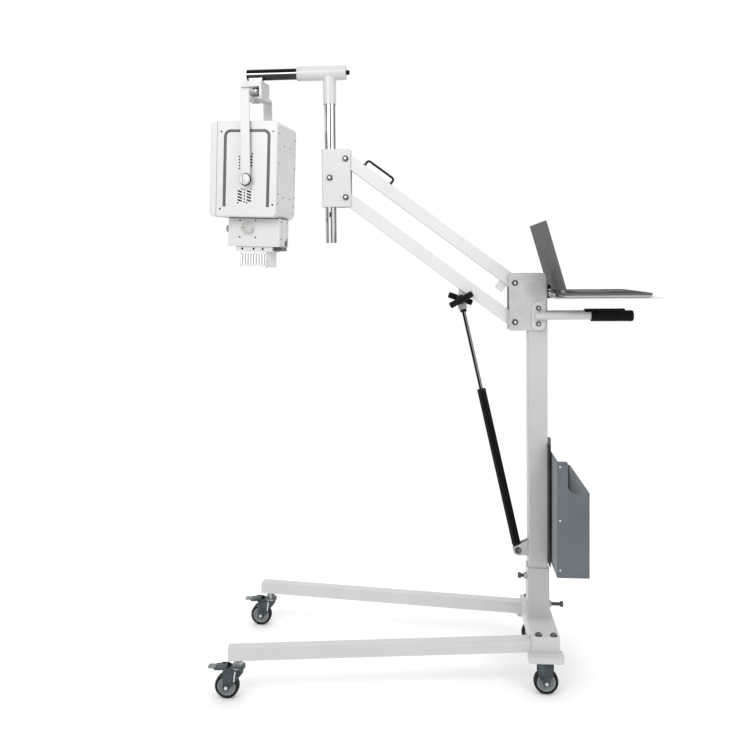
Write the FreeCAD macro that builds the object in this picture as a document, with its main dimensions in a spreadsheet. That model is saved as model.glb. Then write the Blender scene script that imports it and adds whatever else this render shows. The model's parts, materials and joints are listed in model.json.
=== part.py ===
import FreeCAD, Part
import Sketcher
import math
import os

# Portable X-ray unit on a wheeled stand with a parallelogram arm.
# Millimetres. +Z is up and the floor is z = 0. The X-ray head is at -X, the operator stands at +X.
# Left is -Y and right is +Y, as the operator sees it. Pieces are placed about the column's axis,
# and at the end the whole object is moved so that the origin is under the middle of its box.

os.makedirs("parts", exist_ok=True)
doc = FreeCAD.newDocument("portable_xray_stand")
sheet = doc.addObject("Spreadsheet::Sheet", "Sizes")
vec = FreeCAD.Vector
alongX, alongY, alongZ = (1, 0, 0), (0, 1, 0), (0, 0, 1)
sides = ((-1, "left"), (1, "right"))
sizeNames = []
nodes = []


class Size:
    # A number together with the sheet formula that gives it.
    def __init__(self, value, text):
        self.value = value
        self.text = text

    def __add__(self, other):
        return Size(self.value + num(other), "(%s + %s)" % (self.text, formula(other)))

    def __sub__(self, other):
        return Size(self.value - num(other), "(%s - %s)" % (self.text, formula(other)))

    def __rsub__(self, other):
        return Size(num(other) - self.value, "(%s - %s)" % (formula(other), self.text))

    def __mul__(self, other):
        return Size(self.value * num(other), "(%s * %s)" % (self.text, formula(other)))

    def __truediv__(self, other):
        return Size(self.value / num(other), "(%s / %s)" % (self.text, formula(other)))

    def __neg__(self):
        return Size(-self.value, "(0 - %s)" % self.text)

    __radd__ = __add__
    __rmul__ = __mul__


def num(x):
    return x.value if isinstance(x, Size) else float(x)


def formula(x):
    return x.text if isinstance(x, Size) else "%.9g" % x


def size(alias, value):
    sizeNames.append(alias)
    cell = "A%d" % len(sizeNames)
    sheet.set(cell, str(value))
    sheet.setAlias(cell, alias)
    return Size(float(value), "Sizes." + alias)


def bind(obj, **values):
    for name, value in values.items():
        setattr(obj, name, num(value))
        if isinstance(value, Size):
            obj.setExpression(name, value.text)
    return obj


def frameAt(at, axis=alongZ, turn=0):
    return FreeCAD.Placement(vec(*[num(a) for a in at]), FreeCAD.Rotation(vec(*axis), num(turn)))


def pointing(at, along):
    return FreeCAD.Placement(vec(*[num(a) for a in at]), FreeCAD.Rotation(vec(0, 0, 1), vec(*along)))


def box(name, lx, ly, lz, at):
    # at is the middle of the box in x and y, and its lowest z
    obj = bind(doc.addObject("Part::Box", name), Length=lx, Width=ly, Height=lz)
    obj.Placement = frameAt((at[0] - lx / 2, at[1] - ly / 2, at[2]))
    return obj


def bar(name, radius, length, at, along=alongZ):
    # a round bar that starts at the point and runs along the direction
    obj = bind(doc.addObject("Part::Cylinder", name), Radius=radius, Height=length)
    obj.Placement = pointing(at, along)
    return obj


def hexBar(name, flats, length, at, along=alongZ):
    obj = doc.addObject("Part::Prism", name)
    obj.Polygon = 6
    bind(obj, Circumradius=flats / math.sqrt(3), Height=length)
    obj.Placement = pointing(at, along)
    return obj


def fuse(name, *pieces):
    obj = doc.addObject("Part::MultiFuse", name)
    obj.Shapes = list(pieces)
    return obj


def group(name, *pieces):
    obj = doc.addObject("Part::Compound", name)
    obj.Links = list(pieces)
    return obj


def cut(name, base, *tools):
    obj = doc.addObject("Part::Cut", name)
    obj.Base = base
    obj.Tool = tools[0] if len(tools) == 1 else fuse(name + "Tools", *tools)
    return obj


def sketchOn(body, role, corners):
    # a closed outline on one of the body's own planes, each corner tied to the sheet
    sketch = body.newObject("Sketcher::SketchObject", body.Name + "Sketch")
    plane = [f for f in body.Origin.OriginFeatures if f.Role == role][0]
    sketch.AttachmentSupport = (plane, [""])
    sketch.MapMode = "FlatFace"
    spots = [vec(num(x), num(y), 0) for x, y in corners]
    count = len(spots)
    sketch.addGeometry([Part.LineSegment(spots[i], spots[(i + 1) % count]) for i in range(count)])
    for i, (x, y) in enumerate(corners):
        sketch.addConstraint(Sketcher.Constraint("Coincident", (i - 1) % count, 2, i, 1))
        for kind, value, axis in (("DistanceX", x, -2), ("DistanceY", y, -1)):
            if num(value) == 0:
                sketch.addConstraint(Sketcher.Constraint("PointOnObject", i, 1, axis))
                continue
            row = sketch.addConstraint(Sketcher.Constraint(kind, -1, 1, i, 1, num(value)))
            if isinstance(value, Size):
                sketch.setExpression("Constraints[%d]" % row, value.text)
    return sketch


def profile(name, role, corners, depth):
    # an outline padded both ways from its plane
    body = doc.addObject("PartDesign::Body", name)
    pad = body.newObject("PartDesign::Pad", name + "Pad")
    pad.Profile = sketchOn(body, role, corners)
    bind(pad, Length=depth)
    pad.Midplane = True
    body.Tip = pad
    return body


def turned(name, corners, at, along):
    # an outline of (radius, height) corners turned round its own Z axis
    body = doc.addObject("PartDesign::Body", name)
    turn = body.newObject("PartDesign::Revolution", name + "Turn")
    sketch = sketchOn(body, "XZ_Plane", corners)
    turn.Profile = sketch
    turn.ReferenceAxis = (sketch, ["V_Axis"])
    turn.Angle = 360
    body.Tip = turn
    body.Placement = pointing(at, along)
    return body


def softened(name, base, radius, picks):
    # rounds the edges of a solid that the test picks
    doc.recompute()
    obj = doc.addObject("Part::Fillet", name)
    obj.Base = base
    obj.Edges = [(i + 1, num(radius), num(radius)) for i, e in enumerate(base.Shape.Edges) if picks(e)]
    return obj


def straightAlong(edge, direction):
    ends = [v.Point for v in edge.Vertexes]
    return len(ends) == 2 and (ends[1] - ends[0]).cross(vec(*direction)).Length < 0.001


def upright(edge):
    return straightAlong(edge, alongZ)


def bolt(name, at, along, radius, length, flats, nut=True):
    # shank from the point along the direction, head before the point, nut on the far end
    far = [num(a) + num(length) * b for a, b in zip(at, along)]
    pieces = [bar(name + "Shank", radius, length, at, along),
              hexBar(name + "Head", flats, flats * 0.4, at, [-a for a in along])]
    if nut:
        pieces.append(hexBar(name + "Nut", flats, flats * 0.4, far, along))
    return fuse(name, *pieces)


def node(name, obj, frame=None):
    obj.Label = name
    if frame:
        obj.Placement = frame.multiply(obj.Placement)
    nodes.append(obj)


# Clearances and stock
rest = size("restGap", 0.3)
running = size("runningGap", 0.05)
wall = size("tubeWall", 3)
sheetMetal = size("sheetMetal", 2)

# Base: a box beam across the back and two legs that splay forward from it
baseX = size("baseMiddle", 4)
baseZ = size("baseBottom", 121)
beamDepth = size("beamDepth", 86)
beamSpan = size("beamSpan", 310)
beamHigh = size("beamHeight", 50)
padLong = size("castorPadLength", 106)
padWide = size("castorPadWidth", 48)
padHigh = size("castorPadHeight", 20)
rearAt = size("rearCastorSide", 160)
beamBoltR = size("beamBoltRadius", 5)
beamBoltAt = size("beamBoltSide", 145)
beamBoltStep = size("beamBoltStep", 23)
legSide = size("legSide", 37)
legLong = size("legLength", 928)
legSplay = size("legSplay", 7.15)
legRoot = size("legRootSide", 133.5)
stemBack = size("stemFromLegEnd", 30)
stemR = size("stemRadius", 6)
beamTop = baseZ + beamHigh
beamFront = baseX - beamDepth / 2
beamSpots = [(baseX + 3 + step * beamBoltStep, side * beamBoltAt) for side, hand in sides for step in (-1, 1)]


def legPoint(side, ahead):
    # the point on a leg's middle line this far ahead of the beam
    turn = math.radians(num(legSplay))
    return (num(beamFront) - num(ahead) * math.cos(turn), side * (num(legRoot) + num(ahead) * math.sin(turn)))


def crossbeam():
    outer = box("beamOuter", beamDepth, beamSpan, beamHigh, (baseX, 0, baseZ))
    inner = box("beamInner", beamDepth - 2 * wall, beamSpan - 2 * wall, beamHigh - 2 * wall,
                (baseX, 0, baseZ + wall))
    pads = [box("castorPad" + hand, padLong, padWide, padHigh, (baseX, side * rearAt, baseZ - padHigh))
            for side, hand in sides]
    pads = [softened("padRounded" + hand, pad, 8, upright) for pad, (side, hand) in zip(pads, sides)]
    holes = [bar("beamHole", beamBoltR + rest, beamHigh + padHigh + 2, (x, y, baseZ - padHigh - 1))
             for x, y in beamSpots]
    return cut("crossbeamSolid", fuse("beamWelded", cut("beamTube", outer, inner), *pads), *holes)


def leg(side, hand):
    # made along its own X axis, turned out by the splay, then cut off at the beam
    outer = box("legOuter" + hand, legLong + legSide, legSide, legSide, ((legSide - legLong) / 2, 0, baseZ))
    inner = box("legInner" + hand, legLong + legSide, legSide - 2 * wall, legSide - 2 * wall,
                ((legSide - legLong) / 2 + wall, 0, baseZ + wall))
    hole = bar("legStemHole" + hand, stemR + rest, 2 * wall, (stemBack - legLong, 0, baseZ - wall))
    tube = cut("legTube" + hand, outer, inner, hole)
    tube.Placement = frameAt((beamFront, side * legRoot, 0), alongZ, -side * legSplay)
    room = box("legRoom" + hand, 3 * legSide, 3 * legSide, 3 * legSide,
               (beamFront + 3 * legSide / 2, side * legRoot, baseZ - legSide))
    return cut("legSolid" + hand, tube, room)


node("crossbeam", crossbeam())
for side, hand in sides:
    node("leg_" + hand, leg(side, hand))

# Castors: 75 mm wheels with hard tyres, fixed at the back, swivelling with a brake at the front
wheelR = size("wheelRadius", 37.5)
tyreWide = size("tyreWidth", 24)
rimR = size("rimRadius", 28.5)
axleR = size("axleRadius", 4)
forkGap = size("forkGap", 28)
forkPlate = size("forkPlate", 2.5)
forkTop = size("forkTop", 101)
crownThick = size("crownThickness", 8)
trail = size("castorTrail", 36)
pedalPinR = size("pedalPinRadius", 3)
pedalBack = size("pedalPinBack", 24)
pedalPinZ = size("pedalPinHeight", 84)
forkOuter = forkGap + 2 * forkPlate
crownUnder = forkTop - crownThick


def forkPieces(name, corners, axleX):
    # a channel with an outline seen from the side, open below its crown, with its axle
    outline = profile(name + "Outline", "XZ_Plane", corners, forkOuter)
    room = box(name + "Room", 200, forkGap, 200, (0, 0, crownUnder - 200))
    pieces = [cut(name + "Channel", outline, room),
              bar(name + "Axle", axleR, forkOuter + 6, (axleX, -forkOuter / 2 - 3, wheelR), alongY)]
    for side, hand in sides:
        pieces.append(bar(name + "Eye", 12, forkPlate, (axleX, side * forkGap / 2, wheelR), (0, side, 0)))
        pieces.append(hexBar(name + "Nut", 12, 4, (axleX, side * forkOuter / 2, wheelR), (0, side, 0)))
    return pieces


def rearFork(side, hand):
    low = wheelR - 8
    corners = [(-22, forkTop), (22, forkTop), (22, 80), (9, low), (-9, low), (-22, 80)]
    fork = fuse("rearFork" + hand, *forkPieces("rear" + hand, corners, 0))
    fork.Placement = frameAt((baseX, side * rearAt, 0))
    return fork


def frontFork(hand):
    # the stem's axis is the local Z axis, and the wheel trails towards -X
    low = wheelR - 8
    corners = [(-22, forkTop - 5), (18, forkTop - 5), (18, 86), (8 - trail, low), (-8 - trail, low),
               (-12 - trail, 44), (-30, 86)]
    pieces = forkPieces("front" + hand, corners, -trail)
    pieces.append(bar("crown" + hand, 21, crownThick, (0, 0, crownUnder)))
    pieces += [bar("pedalPin" + hand, pedalPinR, 6, (-pedalBack, side * forkGap / 2, pedalPinZ), (0, side, 0))
               for side, other in sides]
    hole = bar("crownBore" + hand, stemR + running, 3 * crownThick, (0, 0, crownUnder - crownThick))
    return cut("frontForkSolid" + hand, fuse("frontForkWhole" + hand, *pieces), hole)


def pedal(hand):
    # two ears beside the fork and a foot plate ahead of the wheel
    corners = [(5 - pedalBack, pedalPinZ - 5), (5 - pedalBack, pedalPinZ + 5), (-pedalBack - 10, pedalPinZ + 10),
               (-88, 95), (-94, 92), (-60, 88), (-pedalBack - 6, pedalPinZ - 5)]
    ears = profile("pedalEars" + hand, "XZ_Plane", corners, forkOuter + 5.6)
    room = box("pedalRoom" + hand, 110, forkOuter + 1.6, 60, (-30, 0, 60))
    plate = box("pedalPlate" + hand, 38, forkOuter + 5.6, 3, (-75, 0, 92))
    bore = bar("pedalBore" + hand, pedalPinR + running, 60, (-pedalBack, -30, pedalPinZ), alongY)
    cheeks = cut("pedalCheeks" + hand, ears, room)
    return cut("pedalSolid" + hand, fuse("pedalWhole" + hand, cheeks, plate), bore)


def stem(side, hand):
    # collar against the leg, shank through the fork's crown and a head under it
    x, y = legPoint(side, legLong - stemBack)
    return fuse("stemSolid" + hand,
                bar("stemShank" + hand, stemR, 46, (x, y, crownUnder - 6)),
                bar("stemCollar" + hand, 13, baseZ - forkTop - rest, (x, y, forkTop + rest)),
                bar("stemHead" + hand, 9, 6, (x, y, crownUnder - rest - 6)))


def wheel(name, at):
    half = tyreWide / 2
    face = forkGap / 2 - rest
    hub = [(axleR + running, -face), (9, -face), (10, -8), (22, -6), (23, -10), (rimR - 0.1, -10),
           (rimR - 0.1, 10), (23, 10), (22, 6), (10, 8), (9, face), (axleR + running, face)]
    tyre = [(rimR, 1 - half), (wheelR - 4, -half), (wheelR - 1, 3 - half), (wheelR, -4), (wheelR, 4),
            (wheelR - 1, half - 3), (wheelR - 4, half), (rimR, half - 1)]
    node(name + "_hub", turned(name + "Hub", hub, at, alongY))
    node(name + "_tyre", turned(name + "Tyre", tyre, at, alongY))


node("rear_castor_forks", group("rearForks", *[rearFork(side, hand) for side, hand in sides]))
node("front_castor_stems", group("frontStems", *[stem(side, hand) for side, hand in sides]))
for side, hand in sides:
    x, y = legPoint(side, legLong - stemBack)
    node("front_fork_" + hand, frontFork(hand), frameAt((x, y, 0)))
    node("brake_pedal_" + hand, pedal(hand), frameAt((x, y, 0)))
    wheel("front_wheel_" + hand, (x - trail, y, wheelR))
    wheel("rear_wheel_" + hand, (baseX, side * rearAt, wheelR))

# Column: a square tube clamped in a socket sleeve
columnSide = size("columnSide", 60)
columnTop = size("columnTop", 1275)
socketWall = size("socketWall", 4)
socketHigh = size("socketHeight", 165)
clampScrewR = size("socketScrewRadius", 5.5)
footX = size("springFootX", -63)
footZ = size("springFootZ", 386)
footPinR = size("springFootPinRadius", 5)
earGap = size("clevisGap", 20)
earThick = size("clevisThickness", 4)
columnBoltR = size("columnBoltRadius", 5)
columnBolts = (1122.5, 1172.5)
columnFace = columnSide / 2
socketFace = columnFace + socketWall
socketScrews = ((-1, 300, 24), (1, 208, 43))


def columnSocket():
    outer = box("socketOuter", 2 * socketFace, 2 * socketFace, socketHigh, (0, 0, beamTop))
    inner = box("socketInner", columnSide, columnSide, socketHigh + 2, (0, 0, beamTop - 1))
    bosses = [bar("socketBoss", 11, 10, (side * (socketFace - 1), 0, z), (side, 0, 0))
              for side, z, reach in socketScrews]
    bores = [bar("socketBore", clampScrewR + rest, 40, (side * columnFace, 0, z), (side, 0, 0))
             for side, z, reach in socketScrews]
    rounded = softened("socketRounded", outer, 4, upright)
    return cut("socketSolid", fuse("socketWhole", rounded, *bosses), inner, *bores)


def columnTube():
    high = columnTop - beamTop
    outer = softened("columnRounded", box("columnOuter", columnSide, columnSide, high, (0, 0, beamTop)),
                     3, upright)
    inner = box("columnInner", columnSide - 2 * wall, columnSide - 2 * wall, high - 2 * wall,
                (0, 0, beamTop + wall))
    face = 1 - columnFace
    corners = [(face, footZ + 34), (footX - 2, footZ + 16), (footX - 12, footZ + 11), (footX - 16, footZ),
               (footX - 12, footZ - 11), (footX, footZ - 16), (face, footZ - 16)]
    ears = profile("clevisEars", "XZ_Plane", corners, earGap + 2 * earThick)
    room = box("clevisRoom", 80, earGap, 80, (-columnFace - 40, 0, footZ - 40))
    pin = bar("clevisBore", footPinR + rest, 60, (footX, -30, footZ), alongY)
    holes = [bar("columnHole", columnBoltR + rest, 80, (0, -40, z), alongY) for z in columnBolts]
    tube = cut("columnBored", outer, inner, *holes)
    return fuse("columnSolid", tube, cut("clevis", ears, room, pin))


node("column_socket", columnSocket())
node("column_tube", columnTube())

# Arm bracket: two steel plates on the column's sides, with the four-bar arm between them
armAngle = size("armAngle", 37)
armLong = size("armLength", 673)
armSide = size("armSide", 40)
pivotX = size("armPivotX", -72.5)
pivotHigh = size("upperPivotHeight", 1252.5)
pivotLow = size("lowerPivotHeight", 1128)
pivotR = size("armPivotRadius", 6)
plateThick = size("bracketPlate", 4)
plateFront = size("bracketFront", -91)
plateRear = size("bracketRear", 25)
plateLow = size("bracketBottom", 1101)
plateHigh = size("bracketTop", 1283)
footThick = size("handleFootThickness", 6)
plateOut = columnFace + plateThick


def armBracket():
    corners = [(plateFront, plateLow), (plateRear, plateLow), (plateRear, plateHigh - 8),
               (plateRear - 3, plateHigh - 2), (plateRear - 8, plateHigh), (plateFront, plateHigh)]
    outline = profile("bracketOutline", "XZ_Plane", corners, 2 * plateOut)
    room = box("bracketRoom", 200, columnSide, 300, (-30, 0, 1050))
    holes = [bar("pivotHole", pivotR + rest, 100, (pivotX, -50, z), alongY) for z in (pivotLow, pivotHigh)]
    holes += [bar("plateHole", columnBoltR + rest, 100, (0, -50, z), alongY) for z in columnBolts]
    return cut("bracketPlates", outline, room, *holes)


def bracketBolts():
    wide = 2 * plateOut
    pieces = [bolt("pivotBolt", (pivotX, -plateOut, z), alongY, pivotR, wide, 19) for z in (pivotLow, pivotHigh)]
    pieces += [bolt("columnBolt", (0, -plateOut - footThick, z), alongY, columnBoltR,
                    wide + 2 * footThick, 15) for z in columnBolts]
    return group("bracketBoltSet", *pieces)


def standBolts():
    pieces = [bolt("beamBolt", (x, y, beamTop), (0, 0, -1), beamBoltR, beamHigh + padHigh - 2, 16, nut=False)
              for x, y in beamSpots]
    for side, z, reach in socketScrews:
        start = side * (columnFace + rest)
        shank = bar("socketShank", clampScrewR, reach + 1, (start, 0, z), (side, 0, 0))
        head = bar("socketHead", 9, 8, (start + side * reach, 0, z), (side, 0, 0))
        pieces.append(fuse("socketScrew", shank, head))
    wide = earGap + 2 * earThick
    pieces.append(bolt("springFootPin", (footX, -wide / 2, footZ), alongY, footPinR, wide, 16))
    for side, hand in sides:
        x, y = legPoint(side, 16)
        pieces.append(hexBar("legNut" + hand, 13, 6, (x, y, baseZ - 6)))
    return group("standBoltSet", *pieces)


node("stand_bolts", standBolts())
node("arm_bracket", armBracket())
node("bracket_bolts", bracketBolts())

# Push handles: a tube on each side, bolted through the bracket, with a grip on its end
handleR = size("handleRadius", 12)
handleZ = size("handleHeight", 1148)
handleEnd = size("handleEndX", 281)
gripStart = size("gripStart", 160)
gripR = size("gripRadius", 17.5)
gripEnd = size("gripEnd", 289)
footR = size("handleFootRadius", 20.5)
handleSide = plateOut + footThick + handleR - 1
gripLong = gripEnd - gripStart


def handle(side, hand):
    low, high = columnBolts
    ends = [bar("handleFoot" + hand, footR, footThick, (0, side * plateOut, z), (0, side, 0)) for z in columnBolts]
    middle = box("handleFootMiddle" + hand, 2 * footR, footThick, high - low,
                 (0, side * (plateOut + footThick / 2), low))
    holes = [bar("handleHole" + hand, columnBoltR + rest, 4 * footThick, (0, side * (plateOut - footThick), z),
                 (0, side, 0)) for z in columnBolts]
    outer = bar("handleOuter" + hand, handleR, handleEnd + 10, (-10, side * handleSide, handleZ), alongX)
    inner = bar("handleInner" + hand, handleR - 2, handleEnd, (6, side * handleSide, handleZ), alongX)
    foot = cut("handleFootBored" + hand, fuse("handleFootWhole" + hand, middle, *ends), *holes)
    return fuse("handleSolid" + hand, foot, cut("handleTube" + hand, outer, inner))


def grip(side, hand):
    at = (gripStart, side * handleSide, handleZ)
    corners = [(0, 0), (gripR - 3, 0), (gripR, 3), (gripR, 114), (gripR - 1, 116), (gripR, 118),
               (gripR - 1, gripLong - 3), (gripR - 6, gripLong), (0, gripLong)]
    return cut("gripSolid" + hand, turned("gripOuter" + hand, corners, at, alongX),
               bar("gripInner" + hand, handleR + 0.1, handleEnd - gripStart + rest, at, alongX))


node("handle_tubes", group("handleTubes", *[handle(side, hand) for side, hand in sides]))
node("handle_grips", group("handleGrips", *[grip(side, hand) for side, hand in sides]))

# Laptop tray on an L-shaped bracket behind the column, with an open laptop
trayZ = size("trayUnderside", 1206)
trayThick = size("trayThickness", 3)
trayStart = size("trayStart", 37)
trayEnd = size("trayEnd", 346)
trayWide = size("trayWidth", 360)
laptopStart = size("laptopStart", 58)
laptopDeep = size("laptopDepth", 258)
laptopWide = size("laptopWidth", 350)
laptopThick = size("laptopThickness", 13)
laptopFeet = size("laptopFeet", 1.5)
lidLong = size("lidLength", 222)
lidThick = size("lidThickness", 6)
lidLean = size("lidLean", 16)
lidPinR = size("lidPinRadius", 2)
postAt = size("lidPostSide", 116)
postWide = size("lidPostWidth", 12)
laptopTop = trayZ + trayThick + laptopFeet + laptopThick
hingeX = laptopStart + 6
hingeZ = laptopTop + 4.5


def trayBracket():
    back = box("trayUpright", 4, 50, 46, (columnFace + 2, 0, trayZ - 3))
    shelf = box("trayShelf", 202, 50, 3, (columnFace + 101, 0, trayZ - 3))
    knob = bar("trayKnob", 7, 10, (columnFace + 3, 0, trayZ + 32), alongX)
    return fuse("trayBracketSolid", back, shelf, knob)


def laptopTray():
    plate = box("trayPlate", trayEnd - trayStart, trayWide, trayThick, ((trayStart + trayEnd) / 2, 0, trayZ))
    return fuse("traySolid", softened("trayRounded", plate, 12, upright),
                box("trayLip", 2, 120, 12, (trayStart + 12, 0, trayZ + 1)))


def laptopBase():
    middle = laptopStart + laptopDeep / 2
    low = trayZ + trayThick
    body = box("laptopBlock", laptopDeep, laptopWide, laptopThick, (middle, 0, low + laptopFeet))
    pieces = [softened("laptopRounded", body, 8, upright)]
    pieces += [bar("laptopFoot", 7, laptopFeet + 1, (middle + a * 110, b * 150, low)) for a in (-1, 1) for b in (-1, 1)]
    pieces += [box("laptopPost", 8, postWide, 9, (hingeX, side * postAt, laptopTop - 1)) for side, hand in sides]
    bore = bar("laptopBore", lidPinR + running, 300, (hingeX, -150, hingeZ), alongY)
    return cut("laptopSolid", fuse("laptopWhole", *pieces), bore)


def laptopLid():
    # upright about its hinge axis, leaned back by its frame
    between = 2 * postAt - postWide - 2 * rest
    return fuse("lidSolid", box("lidPlate", lidThick, laptopWide, lidLong - 6.5, (0, 0, 6.5)),
                box("lidNeck", lidThick, between, 8, (0, 0, 0)),
                bar("lidBarrel", 3.8, between, (0, -between / 2, 0), alongY),
                bar("lidPin", lidPinR, 2 * postAt + postWide, (0, -postAt - postWide / 2, 0), alongY))


node("tray_bracket", trayBracket())
node("laptop_tray", laptopTray())
node("laptop_base", laptopBase())
node("laptop_lid", laptopLid(), frameAt((hingeX, 0, hingeZ), alongY, -lidLean))

# Detector bin: a folded sheet-metal pocket on a hanger plate behind the column
hangerThick = size("hangerThickness", 3.5)
hangerWide = size("hangerWidth", 130)
binBack = size("binBack", 37)
binDeep = size("binDepth", 96)
binWide = size("binWidth", 340)
binLow = size("binBottom", 361)
binBackTop = size("binBackTop", 716)
binFrontTop = size("binFrontTop", 620)
binTab = size("binCheekTab", 32)
binScrewR = size("binScrewRadius", 4)
binScrewUp = size("binScrewFromBottom", 79)
binScrewDown = size("binScrewFromTop", 76)
hangerBelow = size("hangerBelowBin", 8)
hangerAbove = size("hangerAboveBin", 27)
screwSpots = [(side * 45, z) for side, hand in sides for z in (binLow + binScrewUp, binBackTop - binScrewDown)]


def binHanger():
    low = binLow - hangerBelow
    plate = box("hangerPlate", hangerThick, hangerWide, binBackTop + hangerAbove - low,
                (columnFace + hangerThick / 2, 0, low))
    holes = [bar("hangerHole", binScrewR + rest, 20, (columnFace - 5, y, z), alongX) for y, z in screwSpots]
    return cut("hangerSolid", plate, *holes)


def detectorBin():
    front = binBack + binDeep
    tab = binBack + binTab
    corners = [(binBack, binLow), (front, binLow), (front, binFrontTop), (tab + 12, binFrontTop),
               (tab, binFrontTop + 16), (tab, binBackTop - 5), (tab - 5, binBackTop), (binBack, binBackTop)]
    outline = profile("binOutline", "XZ_Plane", corners, binWide)
    room = box("binRoom", binDeep - 2 * sheetMetal, binWide - 2 * sheetMetal, 400,
               (binBack + binDeep / 2, 0, binLow + sheetMetal))
    holes = [bar("binHole", binScrewR + rest, 20, (binBack - 5, y, z), alongX) for y, z in screwSpots]
    return cut("binSolid", outline, room, *holes)


def binScrews():
    pieces = []
    for y, z in screwSpots:
        shank = bar("binShank", binScrewR, binBack + sheetMetal - columnFace, (columnFace, y, z), alongX)
        washer = bar("binWasher", 9, binBack - columnFace - hangerThick, (columnFace + hangerThick, y, z), alongX)
        head = bar("binHead", 7, 3, (binBack + sheetMetal, y, z), alongX)
        pieces.append(fuse("binScrew", shank, washer, head))
    return group("binScrewSet", *pieces)


node("bin_hanger", binHanger())
node("detector_bin", detectorBin())
node("rear_panel_screws", binScrews())

# The two arms run along local -X from their bracket pivots, and are raised by the arm angle
rearEnd = size("armRearEnd", 20)
frontEnd = size("armFrontEnd", 16)
bossR = size("armBossRadius", 12)
clampGap = size("clampGap", 42)
tabAt = size("springTabAlong", 179)
tabDrop = size("springTabDrop", 44)
tabThick = size("springTabThickness", 8)
bowNear = size("bowHandleNear", 60)
bowFar = size("bowHandleFar", 164)
bowHigh = size("bowHandleHeight", 44)
bowR = size("bowHandleRadius", 3.75)
stopSide = size("stopBlockSide", 26)


def arm(name, extra):
    long = armLong + rearEnd + frontEnd
    middle = (rearEnd - armLong - frontEnd) / 2
    outer = softened(name + "Rounded", box(name + "Outer", long, armSide, armSide, (middle, 0, -armSide / 2)),
                     3, lambda edge: edge.Length > 300)
    inner = box(name + "Inner", long - 2 * wall, armSide - 2 * wall, armSide - 2 * wall,
                (middle, 0, wall - armSide / 2))
    pieces = [cut(name + "Tube", outer, inner), extra]
    bores = []
    for x, wide in ((0, columnSide), (-armLong, clampGap)):
        pieces.append(bar(name + "Boss", bossR, wide - 2 * rest, (x, rest - wide / 2, 0), alongY))
        bores.append(bar(name + "Bore", pivotR + running, 100, (x, -50, 0), alongY))
    return cut(name + "Solid", fuse(name + "Whole", *pieces), *bores)


def springTab():
    corners = [(26 - tabAt, 1 - armSide / 2), (9 - tabAt, -tabDrop - 5), (5 - tabAt, -tabDrop - 9),
               (-tabAt - 5, -tabDrop - 9), (-tabAt - 9, -tabDrop - 5), (-tabAt - 26, 1 - armSide / 2)]
    return profile("springTab", "XZ_Plane", corners, tabThick)


def bowHandle():
    near, far = bowNear - armLong, bowFar - armLong
    top = bowHigh - bowR
    foot = armSide / 2
    pieces = [bar("bowTop", bowR, far - near, (near, 0, top), alongX)]
    for x in (near, far):
        pieces.append(bar("bowFoot", 8, 3, (x, 0, foot)))
        pieces.append(bar("bowLeg", bowR, top - foot, (x, 0, foot)))
        corner = bind(doc.addObject("Part::Sphere", "bowCorner"), Radius=bowR)
        corner.Placement = frameAt((x, 0, top))
        pieces.append(corner)
    return fuse("bowSolid", *pieces)


upperFrame = frameAt((pivotX, 0, pivotHigh), alongY, armAngle)
lowerFrame = frameAt((pivotX, 0, pivotLow), alongY, armAngle)
stopBlock = box("stopBlock", stopSide, stopSide, 28, (-27, 0, -armSide / 2 - 27))
node("upper_arm", arm("upperArm", stopBlock), upperFrame)
node("bow_handle", bowHandle(), upperFrame)
node("lower_arm", arm("lowerArm", springTab()), lowerFrame)

# Mast clamp at the front of the arms, carrying the mast
clampPlate = size("clampPlate", 4)
clampAhead = size("clampFrontFromPivot", 78)
clampBehind = size("clampRearFromPivot", 16)
clampBelow = size("clampBelowPivot", 30)
clampAbove = size("clampAbovePivot", 31.5)
mastBack = size("mastFromPivot", 52)
mastR = size("mastRadius", 18)
mastTail = size("mastBelowClamp", 116)
mastAbove = size("mastAboveClamp", 225)
mastSlotUp = size("mastSlotFromEnd", 83)
mastScrewR = size("mastScrewRadius", 5)
mastScrewUp = size("mastScrewFromClampBottom", 94)
reach = math.cos(math.radians(num(armAngle))) * num(armLong)
rise = math.sin(math.radians(num(armAngle))) * num(armLong)
frontX = num(pivotX) - reach
frontPivots = (num(pivotLow) + rise, num(pivotHigh) + rise)
mastX = frontX - num(mastBack)
clampOut = clampGap / 2 + clampPlate
# heights here are whole millimetres nearest to their distance from the pivots
clampLow = round(frontPivots[0] - num(clampBelow))
clampHigh = round(frontPivots[1] + num(clampAbove))
mastLow = clampLow - mastTail
mastTop = clampHigh + mastAbove
mastScrewZ = clampLow + mastScrewUp


def mastClamp():
    middle = frontX + (clampBehind - clampAhead) / 2
    outer = box("clampOuter", clampAhead + clampBehind, 2 * clampOut, clampHigh - clampLow, (middle, 0, clampLow))
    outer = softened("clampRounded", outer, 7, lambda edge: upright(edge) and edge.CenterOfMass.x < mastX)
    high = clampHigh - clampLow + 20
    room = box("clampRoom", 100, clampGap, high, (mastX + mastR + 54, 0, clampLow - 10))
    bore = bar("mastBore", mastR + running, high, (mastX, 0, clampLow - 10))
    holes = [bar("clampHole", pivotR + rest, 100, (frontX, -50, z), alongY) for z in frontPivots]
    holes.append(bar("mastScrewHole", mastScrewR + rest, 20, (mastX, -clampOut - 5, mastScrewZ), alongY))
    return cut("clampSolid", outer, room, bore, *holes)


def clampBolts():
    pieces = [bolt("clampBolt", (frontX, -clampOut, z), alongY, pivotR, 2 * clampOut, 19) for z in frontPivots]
    pieces.append(bolt("mastScrew", (mastX, -clampOut, mastScrewZ), alongY, mastScrewR,
                       clampOut - mastR - rest, 17, nut=False))
    return group("clampBoltSet", *pieces)


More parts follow.
